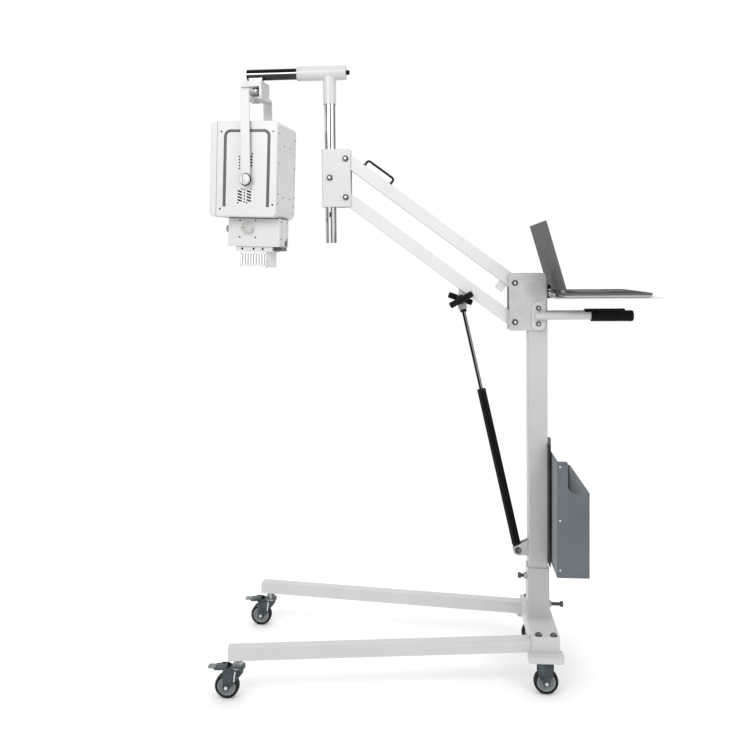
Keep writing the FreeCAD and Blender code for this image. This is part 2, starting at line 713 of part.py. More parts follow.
def mastTube():
    outer = bar("mastOuter", mastR, mastTop - mastLow, (mastX, 0, mastLow))
    inner = bar("mastInner", mastR - wall, mastTop - mastLow + 2, (mastX, 0, mastLow - 1))
    slot = box("mastSlot", 6, 10, 16, (mastX, -mastR, mastLow + mastSlotUp))
    return cut("mastSolid", outer, inner, slot)


node("mast_clamp", mastClamp())
node("mast_clamp_bolts", clampBolts())
node("mast_tube", mastTube())

# Tee fitting that turns on the mast and holds the sliding boom
boomUp = size("boomAboveMast", 24)
boomR = size("boomRadius", 18)
boomAhead = size("boomFrontFromMast", 270)
teeR = size("teeRadius", 23.5)
teeLegR = size("teeLegRadius", 21.5)
teeLegOver = size("teeLegOverMast", 78)
teeAhead = size("teeFrontFromMast", 105)
teeBehind = size("teeRearFromMast", 55)
teeWall = size("teeEndWall", 5)
swivelAhead = size("swivelFromMast", 241)
lockR = size("lockScrewRadius", 7.3)
lockShankR = size("lockShankRadius", 4)
swivelDrop = size("swivelBelowBoom", 27)
roofThick = size("swivelRoofThickness", 17)
# places along the boom are whole millimetres nearest to their distance from the mast
boomStart = round(mastX - num(boomAhead))
teeFront = round(mastX - num(teeAhead))
teeRear = round(mastX + num(teeBehind))
swivelX = round(mastX - num(swivelAhead))
boomEnd = teeRear - teeWall
boomZ = mastTop + boomUp
teeLow = mastTop - teeLegOver
bracketTop = boomZ - swivelDrop
bracketRoof = bracketTop - roofThick


def teeFitting():
    across = bar("teeAcross", teeR, teeRear - teeFront, (teeFront, 0, boomZ), alongX)
    down = bar("teeLeg", teeLegR, boomZ - teeLow, (mastX, 0, teeLow))
    boomBore = bar("teeBoomBore", boomR + running, boomEnd - teeFront + 1, (teeFront - 1, 0, boomZ), alongX)
    mastBore = bar("teeMastBore", mastR + running, mastTop + rest - teeLow + 1, (mastX, 0, teeLow - 1))
    screw = bar("teeScrewBore", lockShankR + running, 20, (teeRear - 10, 0, boomZ), alongX)
    return cut("teeSolid", fuse("teeWhole", across, down), boomBore, mastBore, screw)


def lockScrew():
    return fuse("lockSolid", bar("lockKnob", lockR, 10.7, (teeRear + rest, 0, boomZ), alongX),
                bar("lockShank", lockShankR, teeWall + 1, (boomEnd + rest, 0, boomZ), alongX))


def boomTube():
    long = boomEnd - rest - boomStart
    outer = bar("boomOuter", boomR, long, (boomStart, 0, boomZ), alongX)
    inner = bar("boomInner", boomR - wall, long - 2 * wall, (boomStart + wall, 0, boomZ), alongX)
    hole = bar("boomHole", stemR + rest, 20, (swivelX, 0, boomZ - boomR - 5))
    return cut("boomSolid", outer, inner, hole)


def swivelStud():
    saddle = cut("saddle", box("saddleBlock", 44, 28, swivelDrop - 9, (swivelX, 0, bracketTop + rest)),
                 bar("saddleRoom", boomR + 0.1, 60, (swivelX - 30, 0, boomZ), alongX))
    return fuse("studSolid", saddle, bar("studShank", stemR, roofThick + 29, (swivelX, 0, bracketRoof - 12)),
                hexBar("studNut", 20, 8, (swivelX, 0, bracketRoof - rest - 8)))


node("tee_fitting", teeFitting())
node("boom_lock_screw", lockScrew())
node("boom_tube", boomTube())
node("swivel_stud", swivelStud())

# Swivel bracket and yoke, turned a little about the vertical through the stud
cheek = size("swivelBracketHalf", 37)
cRear = size("swivelBracketRear", 31)
cFront = size("swivelBracketFront", -41)
cOpen = size("swivelOpening", 33)
floorThick = size("swivelFloorThickness", 8)
yokeWasher = size("yokeWasherThickness", 8)
yokeThick = size("yokeThickness", 5)
yokeWide = size("yokeWidth", 30)
yokeHalf = size("yokeInnerHalf", 101)
yokeBoltR = size("yokeBoltRadius", 6)
headDrop = size("headPivotBelowYoke", 281.5)
trunnionR = size("trunnionRadius", 9)
headYaw = size("headYaw", -8.7)
headTilt = size("headTilt", 2.3)
cFloorTop = bracketRoof - cOpen
cFloor = cFloorTop - floorThick
yokeZ = cFloorTop + yokeWasher
headZ = yokeZ - headDrop
yokeTop = yokeZ + yokeThick + 1
swivelFrame = frameAt((swivelX, 0, 0), alongZ, headYaw)
headFrame = frameAt((swivelX, 0, headZ), alongZ, headYaw).multiply(frameAt((0, 0, 0), alongY, headTilt))


def swivelBracket():
    corners = [(cFront, bracketTop), (cRear, bracketTop), (cRear, cFloor), (cFront + 14, cFloor),
               (cFront, cFloorTop), (cRear - 8, cFloorTop), (cRear - 8, bracketRoof), (cFront, bracketRoof)]
    channel = cut("swivelChannel", profile("swivelOutline", "XZ_Plane", corners, 2 * cheek),
                  bar("swivelBore", stemR + running, roofThick + 13, (0, 0, bracketRoof - 5)),
                  bar("yokeBoltHole", yokeBoltR + rest, 20, (0, 0, cFloor - 5)))
    spacer = cut("yokeSpacer", bar("yokeWasherRing", 22, yokeWasher, (0, 0, cFloorTop)),
                 bar("yokeWasherHole", yokeBoltR + rest, 30, (0, 0, cFloor)))
    screw = bolt("yokeBolt", (0, 0, yokeTop), (0, 0, -1), yokeBoltR, yokeTop - cFloor, 16)
    return group("swivelGroup", channel, spacer, screw)


def yoke():
    out = yokeHalf + yokeThick
    corners = [(-out, headZ), (-yokeHalf, headZ), (-yokeHalf, yokeZ - 6), (6 - yokeHalf, yokeZ),
               (yokeHalf - 6, yokeZ), (yokeHalf, yokeZ - 6), (yokeHalf, headZ), (out, headZ),
               (out, yokeTop - 10), (out - 3, yokeTop - 3), (out - 10, yokeTop), (10 - out, yokeTop),
               (3 - out, yokeTop - 3), (-out, yokeTop - 10)]
    ends = [bar("yokeEnd" + hand, yokeWide / 2, yokeThick, (0, side * yokeHalf, headZ), (0, side, 0))
            for side, hand in sides]
    strap = profile("yokeStrap", "YZ_Plane", corners, yokeWide)
    return cut("yokeSolid", fuse("yokeWhole", strap, *ends),
               bar("yokeBore", trunnionR + running, 240, (0, -120, headZ), alongY),
               bar("yokeBoltBore", yokeBoltR + rest, 20, (0, 0, yokeZ - 5)))


node("swivel_bracket", swivelBracket(), swivelFrame)
node("yoke", yoke(), swivelFrame)

# X-ray head, made about its tilt pivot with Y across between the trunnions
headFront = size("headFront", -129)
headSeam = size("headSeam", -105)
headRear = size("headRear", 100)
headHalf = size("headHalfWidth", 92)
headLow = size("headBottom", -117)
headTop = size("headTop", 187)
headCorner = size("headCornerRadius", 17)
headEdge = size("headEdgeRadius", 5)
headWall = size("headWall", 3)
panelThick = size("sidePanel", 1.5)
yokeKnobR = size("yokeKnobRadius", 17)
yokeStudR = size("yokeStudRadius", 4)
yokeStudLong = size("yokeStudLength", 7)
headHigh = headTop - headLow
shellRear = headRear - panelThick


def headBlock(name, near, far, cornered, seam):
    # a hollow block from near to far, open at the seam, rounded at its other end
    shift = headWall if cornered is near else -headWall
    long = far - near
    outer = box(name + "Outer", long, 2 * headHalf, headHigh, (near + long / 2, 0, headLow))
    inner = box(name + "Inner", long, 2 * (headHalf - headWall), headHigh - 2 * headWall,
                (near + long / 2 + shift, 0, headLow + headWall))

    def endEdge(at):
        return lambda edge: straightAlong(edge, alongY) and abs(edge.CenterOfMass.x - num(at)) < 0.01

    def sideEdge(edge):
        ends = [v.Point for v in edge.Vertexes]
        onSide = all(abs(abs(p.y) - num(headHalf)) < 0.01 for p in ends)
        return onSide and not all(abs(p.x - num(seam)) < 0.01 for p in ends)

    outer = softened(name + "Corners", outer, headCorner, endEdge(cornered))
    outer = softened(name + "Edges", outer, headEdge, sideEdge)
    inner = softened(name + "Room", inner, headCorner - headWall, endEdge(cornered + shift))
    return cut(name + "Hollow", outer, inner)


def headShell():
    pieces = [headBlock("shell", headSeam, shellRear, shellRear, headSeam)]
    out = yokeHalf + yokeThick
    for side, hand in sides:
        start = side * (headHalf - headWall)
        pieces.append(bar("trunnionBoss" + hand, 15, yokeHalf - rest - headHalf + headWall, (0, start, 0),
                          (0, side, 0)))
        pieces.append(bar("trunnion" + hand, trunnionR, out - headHalf + headWall, (0, start, 0), (0, side, 0)))
        pieces.append(bar("knobStud" + hand, yokeStudR, yokeStudLong + 3, (0, side * (out - 3), 0), (0, side, 0)))
    return fuse("headShellSolid", *pieces)


def endCap():
    seam = headSeam - rest
    return headBlock("cap", headFront, seam, headFront, seam)


def sidePanel():
    panel = box("panelPlate", panelThick, 2 * headHalf - 16, headHigh - 2 * headCorner - 6,
                (headRear - panelThick / 2, 0, headLow + headCorner + 3))
    return cut("panelSolid", panel, box("panelGroove", 1, 300, 1.2, (headRear, 0, 100)))


# Collimator under the head
colFront = size("collimatorFront", -82)
colRear = size("collimatorRear", 96)
colHalf = size("collimatorHalfWidth", 45)
colLow = size("collimatorBottom", -209.5)
flangeLow = size("flangeBottom", -226)
flangeFront = size("flangeFront", -57)
flangeRear = size("flangeRear", 70)
skirtLow = size("skirtBottom", -277)
skirtFront = size("skirtFront", -36)
skirtRear = size("skirtRear", 54)
skirtHalf = size("skirtHalfWidth", 45)
skirtWall = size("skirtWall", 3.5)
dialX = size("dialAcross", -13.6)
dialZ = size("dialHeight", -153)
dialR = size("dialRadius", 18)
dialShankR = size("dialShankRadius", 3)
smallKnobR = size("sideKnobRadius", 11)
smallKnobY = size("sideKnobAcross", -28)
tankHigh = size("generatorHeight", 110)
insertR = size("tubeInsertRadius", 45)
beamMiddle = (skirtFront + skirtRear) / 2


def collimatorHousing():
    long = colRear - colFront
    high = headLow - colLow
    middle = (colFront + colRear) / 2
    outer = softened("colRounded", box("colOuter", long, 2 * colHalf, high, (middle, 0, colLow)), 5, upright)
    inner = box("colInner", long - 2 * headWall, 2 * (colHalf - headWall), high - 2 * headWall,
                (middle, 0, colLow + headWall))
    return cut("colSolid", outer, inner, box("colBeam", 60, 60, 10, (beamMiddle, 0, colLow - 4)),
               bar("dialHole", dialShankR + running, 20, (dialX, -colHalf - 5, dialZ), alongY),
               bar("knobHole", dialShankR + running, 20, (colFront - 5, smallKnobY, dialZ), alongX))


def collimatorFlange():
    plate = box("flangePlate", flangeRear - flangeFront, 80, colLow - flangeLow,
                ((flangeFront + flangeRear) / 2, 0, flangeLow))
    return cut("flangeSolid", softened("flangeRounded", plate, 4, upright),
               box("flangeBeam", 60, 60, 40, (beamMiddle, 0, flangeLow - 10)))


def beamSpacer():
    # a square skirt whose walls are cut into fingers from below
    long = skirtRear - skirtFront
    high = flangeLow - skirtLow
    tools = [box("skirtInner", long - 2 * skirtWall, 2 * (skirtHalf - skirtWall), 2 * high,
                 (beamMiddle, 0, skirtLow - high / 2))]
    for step in range(-4, 4):
        at = 10 * step + 5
        tools.append(box("skirtSlotX", 4.5, 200, high, (beamMiddle + at, 0, skirtLow - 12)))
        tools.append(box("skirtSlotY", 200, 4.5, high, (beamMiddle, at, skirtLow - 12)))
    return cut("skirtSolid", box("skirtOuter", long, 2 * skirtHalf, high, (beamMiddle, 0, skirtLow)), *tools)


def railBlock():
    return softened("railSolid", box("railPlate", 28, 50, 13, (flangeRear + 14, 0, colLow - 13)), 4, upright)


def dial(name, radius, thick, at, along):
    start = [num(a) + num(rest) * b for a, b in zip(at, along)]
    return fuse(name + "Solid", bar(name + "Disc", radius, thick, start, along),
                bar(name + "Shank", dialShankR, 6, start, [-a for a in along]))


def yokeKnob(side, hand):
    face = yokeHalf + yokeThick + rest
    disc = bar("yokeDisc" + hand, yokeKnobR, 12, (0, side * face, 0), (0, side, 0))
    bore = bar("yokeKnobBore" + hand, yokeStudR + running, yokeStudLong + 1, (0, side * (face - 1), 0), (0, side, 0))
    slot = box("yokeSlot" + hand, 2 * yokeKnobR, 6, 5, (0, side * (face + 12), -2.5))
    return cut("yokeKnobSolid" + hand, disc, bore, slot)


insertZ = headLow + headWall + tankHigh + insertR
node("head_shell", headShell(), headFrame)
node("head_end_cap", endCap(), headFrame)
node("head_side_panel", sidePanel(), headFrame)
node("generator_tank", box("tankBlock", 156, 140, tankHigh, (-5, 0, headLow + headWall)), headFrame)
node("tube_insert", bar("insertBody", insertR, 150, (-75, 0, insertZ), alongX), headFrame)
node("collimator_housing", collimatorHousing(), headFrame)
node("collimator_flange", collimatorFlange(), headFrame)
node("beam_spacer", beamSpacer(), headFrame)
node("rail_block", railBlock(), headFrame)
node("collimator_dial", dial("colDial", dialR, 8, (dialX, -colHalf, dialZ), (0, -1, 0)), headFrame)
node("collimator_side_knob", dial("colKnob", smallKnobR, 10, (colFront, smallKnobY, dialZ), (-1, 0, 0)), headFrame)
for side, hand in sides:
    node("yoke_knob_" + hand, yokeKnob(side, hand), headFrame)

# Gas spring: its frame stands at the foot pin with Z along the spring
springR = size("springRadius", 14)
springTop = size("springCylinderTop", 530)
rodR = size("springRodRadius", 6)
rodInner = size("springRodInner", 320)
collarAt = size("springCollar", 793)
releaseAt = size("releaseHead", 802)
releaseR = size("releaseGripRadius", 10)
releaseLong = size("releaseGripLength", 82)
releaseSide = size("releaseGripSide", 38)
releasePinR = size("releasePinRadius", 5)
turn = math.radians(num(armAngle))
topX = num(pivotX) - num(tabAt) * math.cos(turn) - num(tabDrop) * math.sin(turn)
topZ = num(pivotLow) + num(tabAt) * math.sin(turn) - num(tabDrop) * math.cos(turn)
springLong = math.hypot(topX - num(footX), topZ - num(footZ))
springLean = math.degrees(math.atan2(topX - num(footX), topZ - num(footZ)))
springFrame = frameAt((footX, 0, footZ), alongY, springLean)


def springCylinder():
    whole = fuse("springWhole", bar("springTube", springR, springTop - 20, (0, 0, 20)),
                 bar("springEye", 12, earGap - 2 * rest, (0, rest - earGap / 2, 0), alongY),
                 bar("springNeck", 8, 24, (0, 0, 4)))
    return cut("springSolid", whole, bar("springBore", rodR + running, springTop, (0, 0, springTop - 20)),
               bar("springRoom", springR - 3, springTop - 50, (0, 0, 36)),
               bar("springPinBore", footPinR + running, 60, (0, -30, 0), alongY))


def springRod():
    # rod, piston, collar and a forked release head that straddles the arm's tab
    gap = tabThick + 3
    whole = fuse("rodWhole", bar("rodBar", rodR, releaseAt - rodInner + 5, (0, 0, rodInner)),
                 bar("rodPiston", springR - 3.3, 8, (0, 0, rodInner)),
                 bar("rodCollar", 10, releaseAt - collarAt + 1, (0, 0, collarAt)),
                 bar("releaseBoss", 15, 30, (0, -15, springLong), alongY),
                 box("releaseBody", 26, 26, springLong - releaseAt, (0, 0, releaseAt)))
    room = box("releaseRoom", 90, gap, 90, (0, 0, springLong - 18))
    pins = [bar("releasePin", releasePinR, releaseSide - 10, (0, side * (gap / 2 + 1), springLong), (0, side, 0))
            for side, hand in sides]
    return fuse("rodSolid", cut("rodForked", whole, room), *pins)


def releaseGrip(side, hand, rake):
    # a round grip across the pin, raked up or down towards the operator
    tube = bar("releaseTube" + hand, releaseR, releaseLong, (-releaseLong / 2, 0, 0), alongX)
    tube.Placement = frameAt((0, side * releaseSide, 0), alongY, -rake).multiply(tube.Placement)
    hub = bar("releaseHub" + hand, 8, releaseSide - 18, (0, side * 16, 0), (0, side, 0))
    bore = bar("releaseBore" + hand, releasePinR + running, releaseSide - 2, (0, 0, 0), (0, side, 0))
    return cut("releaseSolid" + hand, fuse("releaseWhole" + hand, tube, hub), bore)


node("spring_cylinder", springCylinder(), springFrame)
node("spring_rod", springRod(), springFrame)
for (side, hand), rake in zip(sides, (28.8, -19)):
    node("release_grip_" + hand, releaseGrip(side, hand, rake), frameAt((topX, 0, topZ)))

# Check every object, centre the whole on the origin and write one file for each node
doc.recompute()
for obj in doc.Objects:
    bad = [state for state in obj.State if state in ("Invalid", "Error")]
    assert not bad, "%s is %s" % (obj.Name, bad)
for obj in nodes:
    assert not obj.Shape.isNull() and obj.Shape.isValid(), "bad shape: " + obj.Label

boxes = [obj.Shape.optimalBoundingBox(True, False) for obj in nodes]
middleX = (min(b.XMin for b in boxes) + max(b.XMax for b in boxes)) / 2
middleY = (min(b.YMin for b in boxes) + max(b.YMax for b in boxes)) / 2
for obj in nodes:
    obj.Placement = FreeCAD.Placement(vec(-middleX, -middleY, 0), FreeCAD.Rotation()).multiply(obj.Placement)
doc.recompute()
for obj in nodes:
    obj.Shape.exportStep("parts/%s.step" % obj.Label)
print("nodes %d, moved by %.3f, %.3f" % (len(nodes), -middleX, -middleY))
print("front pivots x %.3f, z %.3f and %.3f" % (frontX, *frontPivots))
print("spring top %.3f, %.3f, length %.3f, lean %.3f" % (topX, topZ, springLong, springLean))
print("z %.3f to %.3f, x %.3f to %.3f, y %.3f to %.3f" % (
    min(b.ZMin for b in boxes), max(b.ZMax for b in boxes), min(b.XMin for b in boxes),
    max(b.XMax for b in boxes), min(b.YMin for b in boxes), max(b.YMax for b in boxes)))
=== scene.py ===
import json
import math

import bmesh
import bpy
from mathutils import Matrix, Vector


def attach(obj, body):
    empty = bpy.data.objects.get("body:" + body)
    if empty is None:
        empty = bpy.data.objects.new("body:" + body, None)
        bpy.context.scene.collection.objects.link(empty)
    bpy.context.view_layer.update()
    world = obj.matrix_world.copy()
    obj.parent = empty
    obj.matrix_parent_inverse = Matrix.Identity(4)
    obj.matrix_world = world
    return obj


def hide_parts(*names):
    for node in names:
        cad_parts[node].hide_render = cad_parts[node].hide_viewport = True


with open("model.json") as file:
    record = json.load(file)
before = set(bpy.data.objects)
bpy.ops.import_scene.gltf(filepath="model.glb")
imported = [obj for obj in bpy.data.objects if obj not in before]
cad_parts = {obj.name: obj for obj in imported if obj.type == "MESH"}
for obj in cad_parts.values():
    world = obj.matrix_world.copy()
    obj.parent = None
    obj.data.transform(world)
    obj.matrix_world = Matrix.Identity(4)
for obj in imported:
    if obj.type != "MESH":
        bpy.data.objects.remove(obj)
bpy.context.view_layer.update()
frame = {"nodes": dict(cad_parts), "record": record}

# Places: each matrix takes millimetres in a piece's own frame to metres in the row frame
columnX = 0.350805
legs = {"x": -39, "y": 133.5, "splay": 7.15, "castorAt": 898}
axle = {"z": 37.5, "front": -36, "rear": 4, "track": 160}
arm = {"x": -72.5, "upper": 1252.5, "lower": 1128, "slope": 37}
mast = {"x": -661.982, "teeFront": -767, "teeRear": -607, "teeLow": 1836, "boom": 1938}
foot = {"x": -63, "z": 386, "lean": -12.389}


def shift(x, y, z):
    return Matrix.Translation((x, y, z))


def spin(axis, degrees):
    return Matrix.Rotation(math.radians(degrees), 4, axis)


stand = shift(columnX, 0, 0) @ Matrix.Scale(0.001, 4)
upperArm = stand @ shift(arm["x"], 0, arm["upper"]) @ spin("Y", arm["slope"])
lowerArm = stand @ shift(arm["x"], 0, arm["lower"]) @ spin("Y", arm["slope"])
head = stand @ shift(-903, 0, 1587.5) @ spin("Z", -8.7) @ spin("Y", 2.3)
spring = stand @ shift(foot["x"], 0, foot["z"]) @ spin("Y", foot["lean"])
lid = stand @ shift(64, 0, 1228) @ spin("Y", -16)
sides = ((-1, "left"), (1, "right"))


def castorPlace(side):
    turn = math.radians(legs["splay"])
    reach = legs["castorAt"]
    return stand @ shift(legs["x"] - reach * math.cos(turn), side * (legs["y"] + reach * math.sin(turn)), 0)


# Node groups shared by the materials
def fill(node, **values):
    for label, value in values.items():
        node.inputs[label.replace("_", " ")].default_value = value
    return node


def add(tree, kind, **values):
    return fill(tree.nodes.new("ShaderNode" + kind), **values)


def wire(tree, *rows):
    # each row: a node and its output, then the next node and its input
    for start, result, end, entry in rows:
        tree.links.new(start.outputs[result], end.inputs[entry])


def newGroup(name, outputs, **inputs):
    # a group with its inputs, its outputs and the object's own coordinates
    group = bpy.data.node_groups.new(name, "ShaderNodeTree")
    for label, value in inputs.items():
        kind = "NodeSocketVector" if isinstance(value, tuple) else "NodeSocketFloat"
        group.interface.new_socket(label, in_out="INPUT", socket_type=kind).default_value = value
    for label in outputs:
        kind = "NodeSocketVector" if label == "Normal" else "NodeSocketFloat"
        group.interface.new_socket(label, in_out="OUTPUT", socket_type=kind)
    nodes = group.nodes
    return group, nodes.new("NodeGroupInput"), nodes.new("NodeGroupOutput"), add(group, "TexCoord")


def cloudGroup():
    # soft patches from 0 to 1
    group, start, end, spot = newGroup("cloudMask", ["Mask"], Scale=6.0, Low=0.35, High=0.65)
    noise = add(group, "TexNoise", Detail=5, Roughness=0.6)
    ramp = add(group, "MapRange")
    wire(group, (spot, "Object", noise, "Vector"), (start, "Scale", noise, "Scale"), (noise, "Fac", ramp, "Value"),
         (start, "Low", ramp, "From Min"), (start, "High", ramp, "From Max"), (ramp, "Result", end, "Mask"))
    return group


def grainGroup():
    # fine bumps over softened edges
    group, start, end, spot = newGroup("grainBump", ["Normal"], Scale=900.0, Depth=0.1, Edge=0.0008)
    noise = add(group, "TexNoise", Detail=3)
    edge = add(group, "Bevel")
    edge.samples = 4
    bump = add(group, "Bump", Distance=0.0004)
    wire(group, (spot, "Object", noise, "Vector"), (start, "Scale", noise, "Scale"), (start, "Edge", edge, "Radius"),
         (edge, "Normal", bump, "Normal"), (noise, "Fac", bump, "Height"), (start, "Depth", bump, "Strength"),
         (bump, "Normal", end, "Normal"))
    return group


def brushGroup():
    # long fine lines along one direction
    group, start, end, spot = newGroup("brushLines", ["Mask", "Normal"], Stretch=(30, 30, 1500), Depth=0.1)
    scaled = add(group, "VectorMath")
    scaled.operation = "MULTIPLY"
    noise = add(group, "TexNoise", Scale=1, Detail=6, Roughness=0.7)
    edge = add(group, "Bevel", Radius=0.0006)
    bump = add(group, "Bump", Distance=0.0002)
    wire(group, (spot, "Object", scaled, 0), (start, "Stretch", scaled, 1), (scaled, "Vector", noise, "Vector"),
         (edge, "Normal", bump, "Normal"), (noise, "Fac", bump, "Height"), (start, "Depth", bump, "Strength"),
         (noise, "Fac", end, "Mask"), (bump, "Normal", end, "Normal"))
    return group


def scuffGroup():
    # thin scattered scratches
    group, start, end, spot = newGroup("scuffMask", ["Mask"], Scale=40.0)
    warp = add(group, "TexNoise", Scale=9)
    cells = add(group, "TexVoronoi")
    cells.feature = "DISTANCE_TO_EDGE"
    ramp = add(group, "MapRange", From_Min=0.012, From_Max=0.0)
    patch = add(group, "MapRange", From_Min=0.58, From_Max=0.7)
    both = add(group, "Math")
    both.operation = "MULTIPLY"
    wire(group, (spot, "Object", warp, "Vector"), (spot, "Object", cells, "Vector"), (start, "Scale", cells, "Scale"),
         (cells, "Distance", ramp, "Value"), (warp, "Fac", patch, "Value"), (ramp, "Result", both, 0),
         (patch, "Result", both, 1), (both, "Value", end, "Mask"))
    return group


def paintedReflectionGroup(name, stops):
    # painted reflection: bright and dark lines along a round tube, by the way its surface faces, in place of a
    # surround's reflections and highlights
    group, start, end, spot = newGroup(name, ["Mask"], Across=(1, 0, 0))
    facing = add(group, "VectorMath")
    facing.operation = "DOT_PRODUCT"
    place = add(group, "MapRange", From_Min=-1)
    lines = add(group, "ValToRGB")
    ramp = lines.color_ramp
    while len(ramp.elements) < len(stops):
        ramp.elements.new(0.5)
    for element, (at, level) in zip(ramp.elements, stops):
        element.position = at
        element.color = (level, level, level, 1)
    wire(group, (spot, "Normal", facing, 0), (start, "Across", facing, 1), (facing, "Value", place, "Value"),
         (place, "Result", lines, "Fac"), (lines, "Color", end, "Mask"))
    return group


cloud, grain, brush, scuff = cloudGroup(), grainGroup(), brushGroup(), scuffGroup()
# painted reflection and highlight lines for the chrome mast, the boom, the spring rod and the spring cylinder
chromePaintedReflection = paintedReflectionGroup("chromePaintedReflection", ((0.0, 0.1), (0.07, 0.25), (0.12, 0.85), (0.2, 0.8), (0.27, 0.12), (0.35, 0.2),
                                        (0.41, 0.95), (0.55, 1.0), (0.6, 0.1), (0.68, 0.12), (0.74, 0.8),
                                        (0.87, 0.7), (0.93, 0.2), (1.0, 0.1)))
boomPaintedReflection = paintedReflectionGroup("boomPaintedReflection", ((0.0, 0.02), (0.12, 0.1), (0.22, 0.03), (0.34, 0.06), (0.44, 0.14), (0.48, 0.35),
                                    (0.52, 0.4), (0.55, 0.04), (0.6, 0.0), (1.0, 0.0)))
springPaintedHighlight = paintedReflectionGroup("springPaintedHighlightLines", ((0.0, 0.1), (0.12, 0.0), (0.2, 0.02), (0.24, 0.5), (0.27, 0.03), (0.66, 0.0),
                                 (0.7, 0.14), (0.76, 0.0), (1.0, 0.06)))
rodPaintedReflection = paintedReflectionGroup("rodPaintedReflection", ((0.0, 0.0), (0.5, 0.0), (0.58, 0.1), (0.66, 0.55), (0.78, 0.4), (0.86, 0.02),
                                  (1.0, 0.0)))


def tone(level, tint=(1, 1, 1)):
    return [level * t for t in tint] + [1]


def surface(name, light, dark, rough, metal=0.0, patches=5.0, bumps=(900, 0.08, 0.0008), lines=None,
            scuffs=None, paintedBands=None, across=(1, 0, 0), paintedShineTone=None, **plain):
    # one material: two close tones in patches, a range of roughness, fine bumps or brushed lines, worn marks, and on
    # round tubes painted reflection lines
    made = bpy.data.materials.new(name)
    made.use_nodes = True
    tree = made.node_tree
    shader = tree.nodes["Principled BSDF"]

    def use(group, **values):
        shared = add(tree, "Group")
        shared.node_tree = group
        return fill(shared, **values)

    def blend(under, over, masked):
        # lays a tone over a colour where the mask is bright
        mix = add(tree, "Mix")
        mix.data_type = "RGBA"
        mix.inputs["B"].default_value = over
        if isinstance(under, list):
            mix.inputs["A"].default_value = under
        else:
            tree.links.new(under, mix.inputs["A"])
        tree.links.new(masked.outputs["Mask"], mix.inputs["Factor"])
        return mix.outputs["Result"]

    colour = blend(light, dark, use(cloud, Scale=patches))
    if lines:
        fine = relief = use(brush, Stretch=lines[:3], Depth=lines[3])
        colour = blend(colour, [0.8 * c for c in dark[:3]] + [1], fine)
    else:
        fine = use(cloud, Scale=patches * 7, Low=0.3, High=0.7)
        relief = use(grain, Scale=bumps[0], Depth=bumps[1], Edge=bumps[2])
    if scuffs:
        colour = blend(colour, scuffs[1], use(scuff, Scale=scuffs[0]))
    # painted reflection: a bright tone laid over the colour where the tube faces a made-up surround
    if paintedBands:
        colour = blend(colour, paintedShineTone, use(paintedBands, Across=across))
    spread = add(tree, "MapRange", To_Min=rough[0], To_Max=rough[1])
    wire(tree, (fine, "Mask", spread, "Value"), (spread, "Result", shader, "Roughness"),
         (relief, "Normal", shader, "Normal"))
    tree.links.new(colour, shader.inputs["Base Color"])
    fill(shader, Metallic=metal, **plain)
    return made


cool = (0.99, 0.99, 1.012)
whitePaint = surface("whitePaint", tone(0.56, cool), tone(0.54, cool), (0.3, 0.42), bumps=(700, 0.12, 0.0014),
                     scuffs=(35, tone(0.5)), Coat_Weight=0.1, Coat_Roughness=0.25)
# a darker copy of the white paint: painted shade on the column and its socket
columnShadedPaint = surface("columnShadedPaint", tone(0.46, (0.99, 1, 1.01)), tone(0.43, (0.99, 1, 1.01)), (0.3, 0.42),
                      patches=3, bumps=(700, 0.12, 0.0014), scuffs=(35, tone(0.4)), Coat_Weight=0.1,
                      Coat_Roughness=0.25)
headPaint = surface("headPaint", tone(0.56, cool), tone(0.54, cool), (0.32, 0.42), bumps=(1400, 0.1, 0.0015),
                    Coat_Weight=0.15, Coat_Roughness=0.3)
# a darker copy of the white paint: painted shade on the mast clamp and the tee
clampShadedPaint = surface("clampShadedPaint", tone(0.51, cool), tone(0.49, cool), (0.3, 0.42), bumps=(700, 0.12, 0.0012),
                     Coat_Weight=0.2, Coat_Roughness=0.25)
# brushed steel: the brushed lines are grain, the wide light and dark patches are painted reflections
brushedSteel = surface("brushedSteel", tone(0.86), tone(0.5), (0.25, 0.5), metal=1.0, patches=7,
                       lines=(25, 25, 1400, 0.3), Anisotropic=0.4)
# chrome mast, black boom and spring rod: dark bases with painted reflection lines in place of a surround
chromeTube = surface("chromeTube", tone(0.1, (1.05, 1, 0.95)), tone(0.04), (0.05, 0.13), metal=1.0, patches=14,
                     bumps=(300, 0.02, 0.0008), paintedBands=chromePaintedReflection, across=(0.997, -0.083, 0), paintedShineTone=tone(0.9))
blackChrome = surface("blackChrome", tone(0.012, (1, 1, 1.06)), tone(0.006), (0.08, 0.16), metal=0.9, patches=18,
                      bumps=(300, 0.02, 0.0008), scuffs=(80, tone(0.05)), paintedBands=boomPaintedReflection, across=(0, 0, 1),
                      paintedShineTone=tone(0.75), Specular_IOR_Level=0.1)
rodChrome = surface("rodChrome", tone(0.015), tone(0.008), (0.06, 0.14), metal=1.0, patches=14,
                    bumps=(300, 0.02, 0.0008), paintedBands=rodPaintedReflection, across=(0.973, -0.08, -0.21), paintedShineTone=tone(0.7))
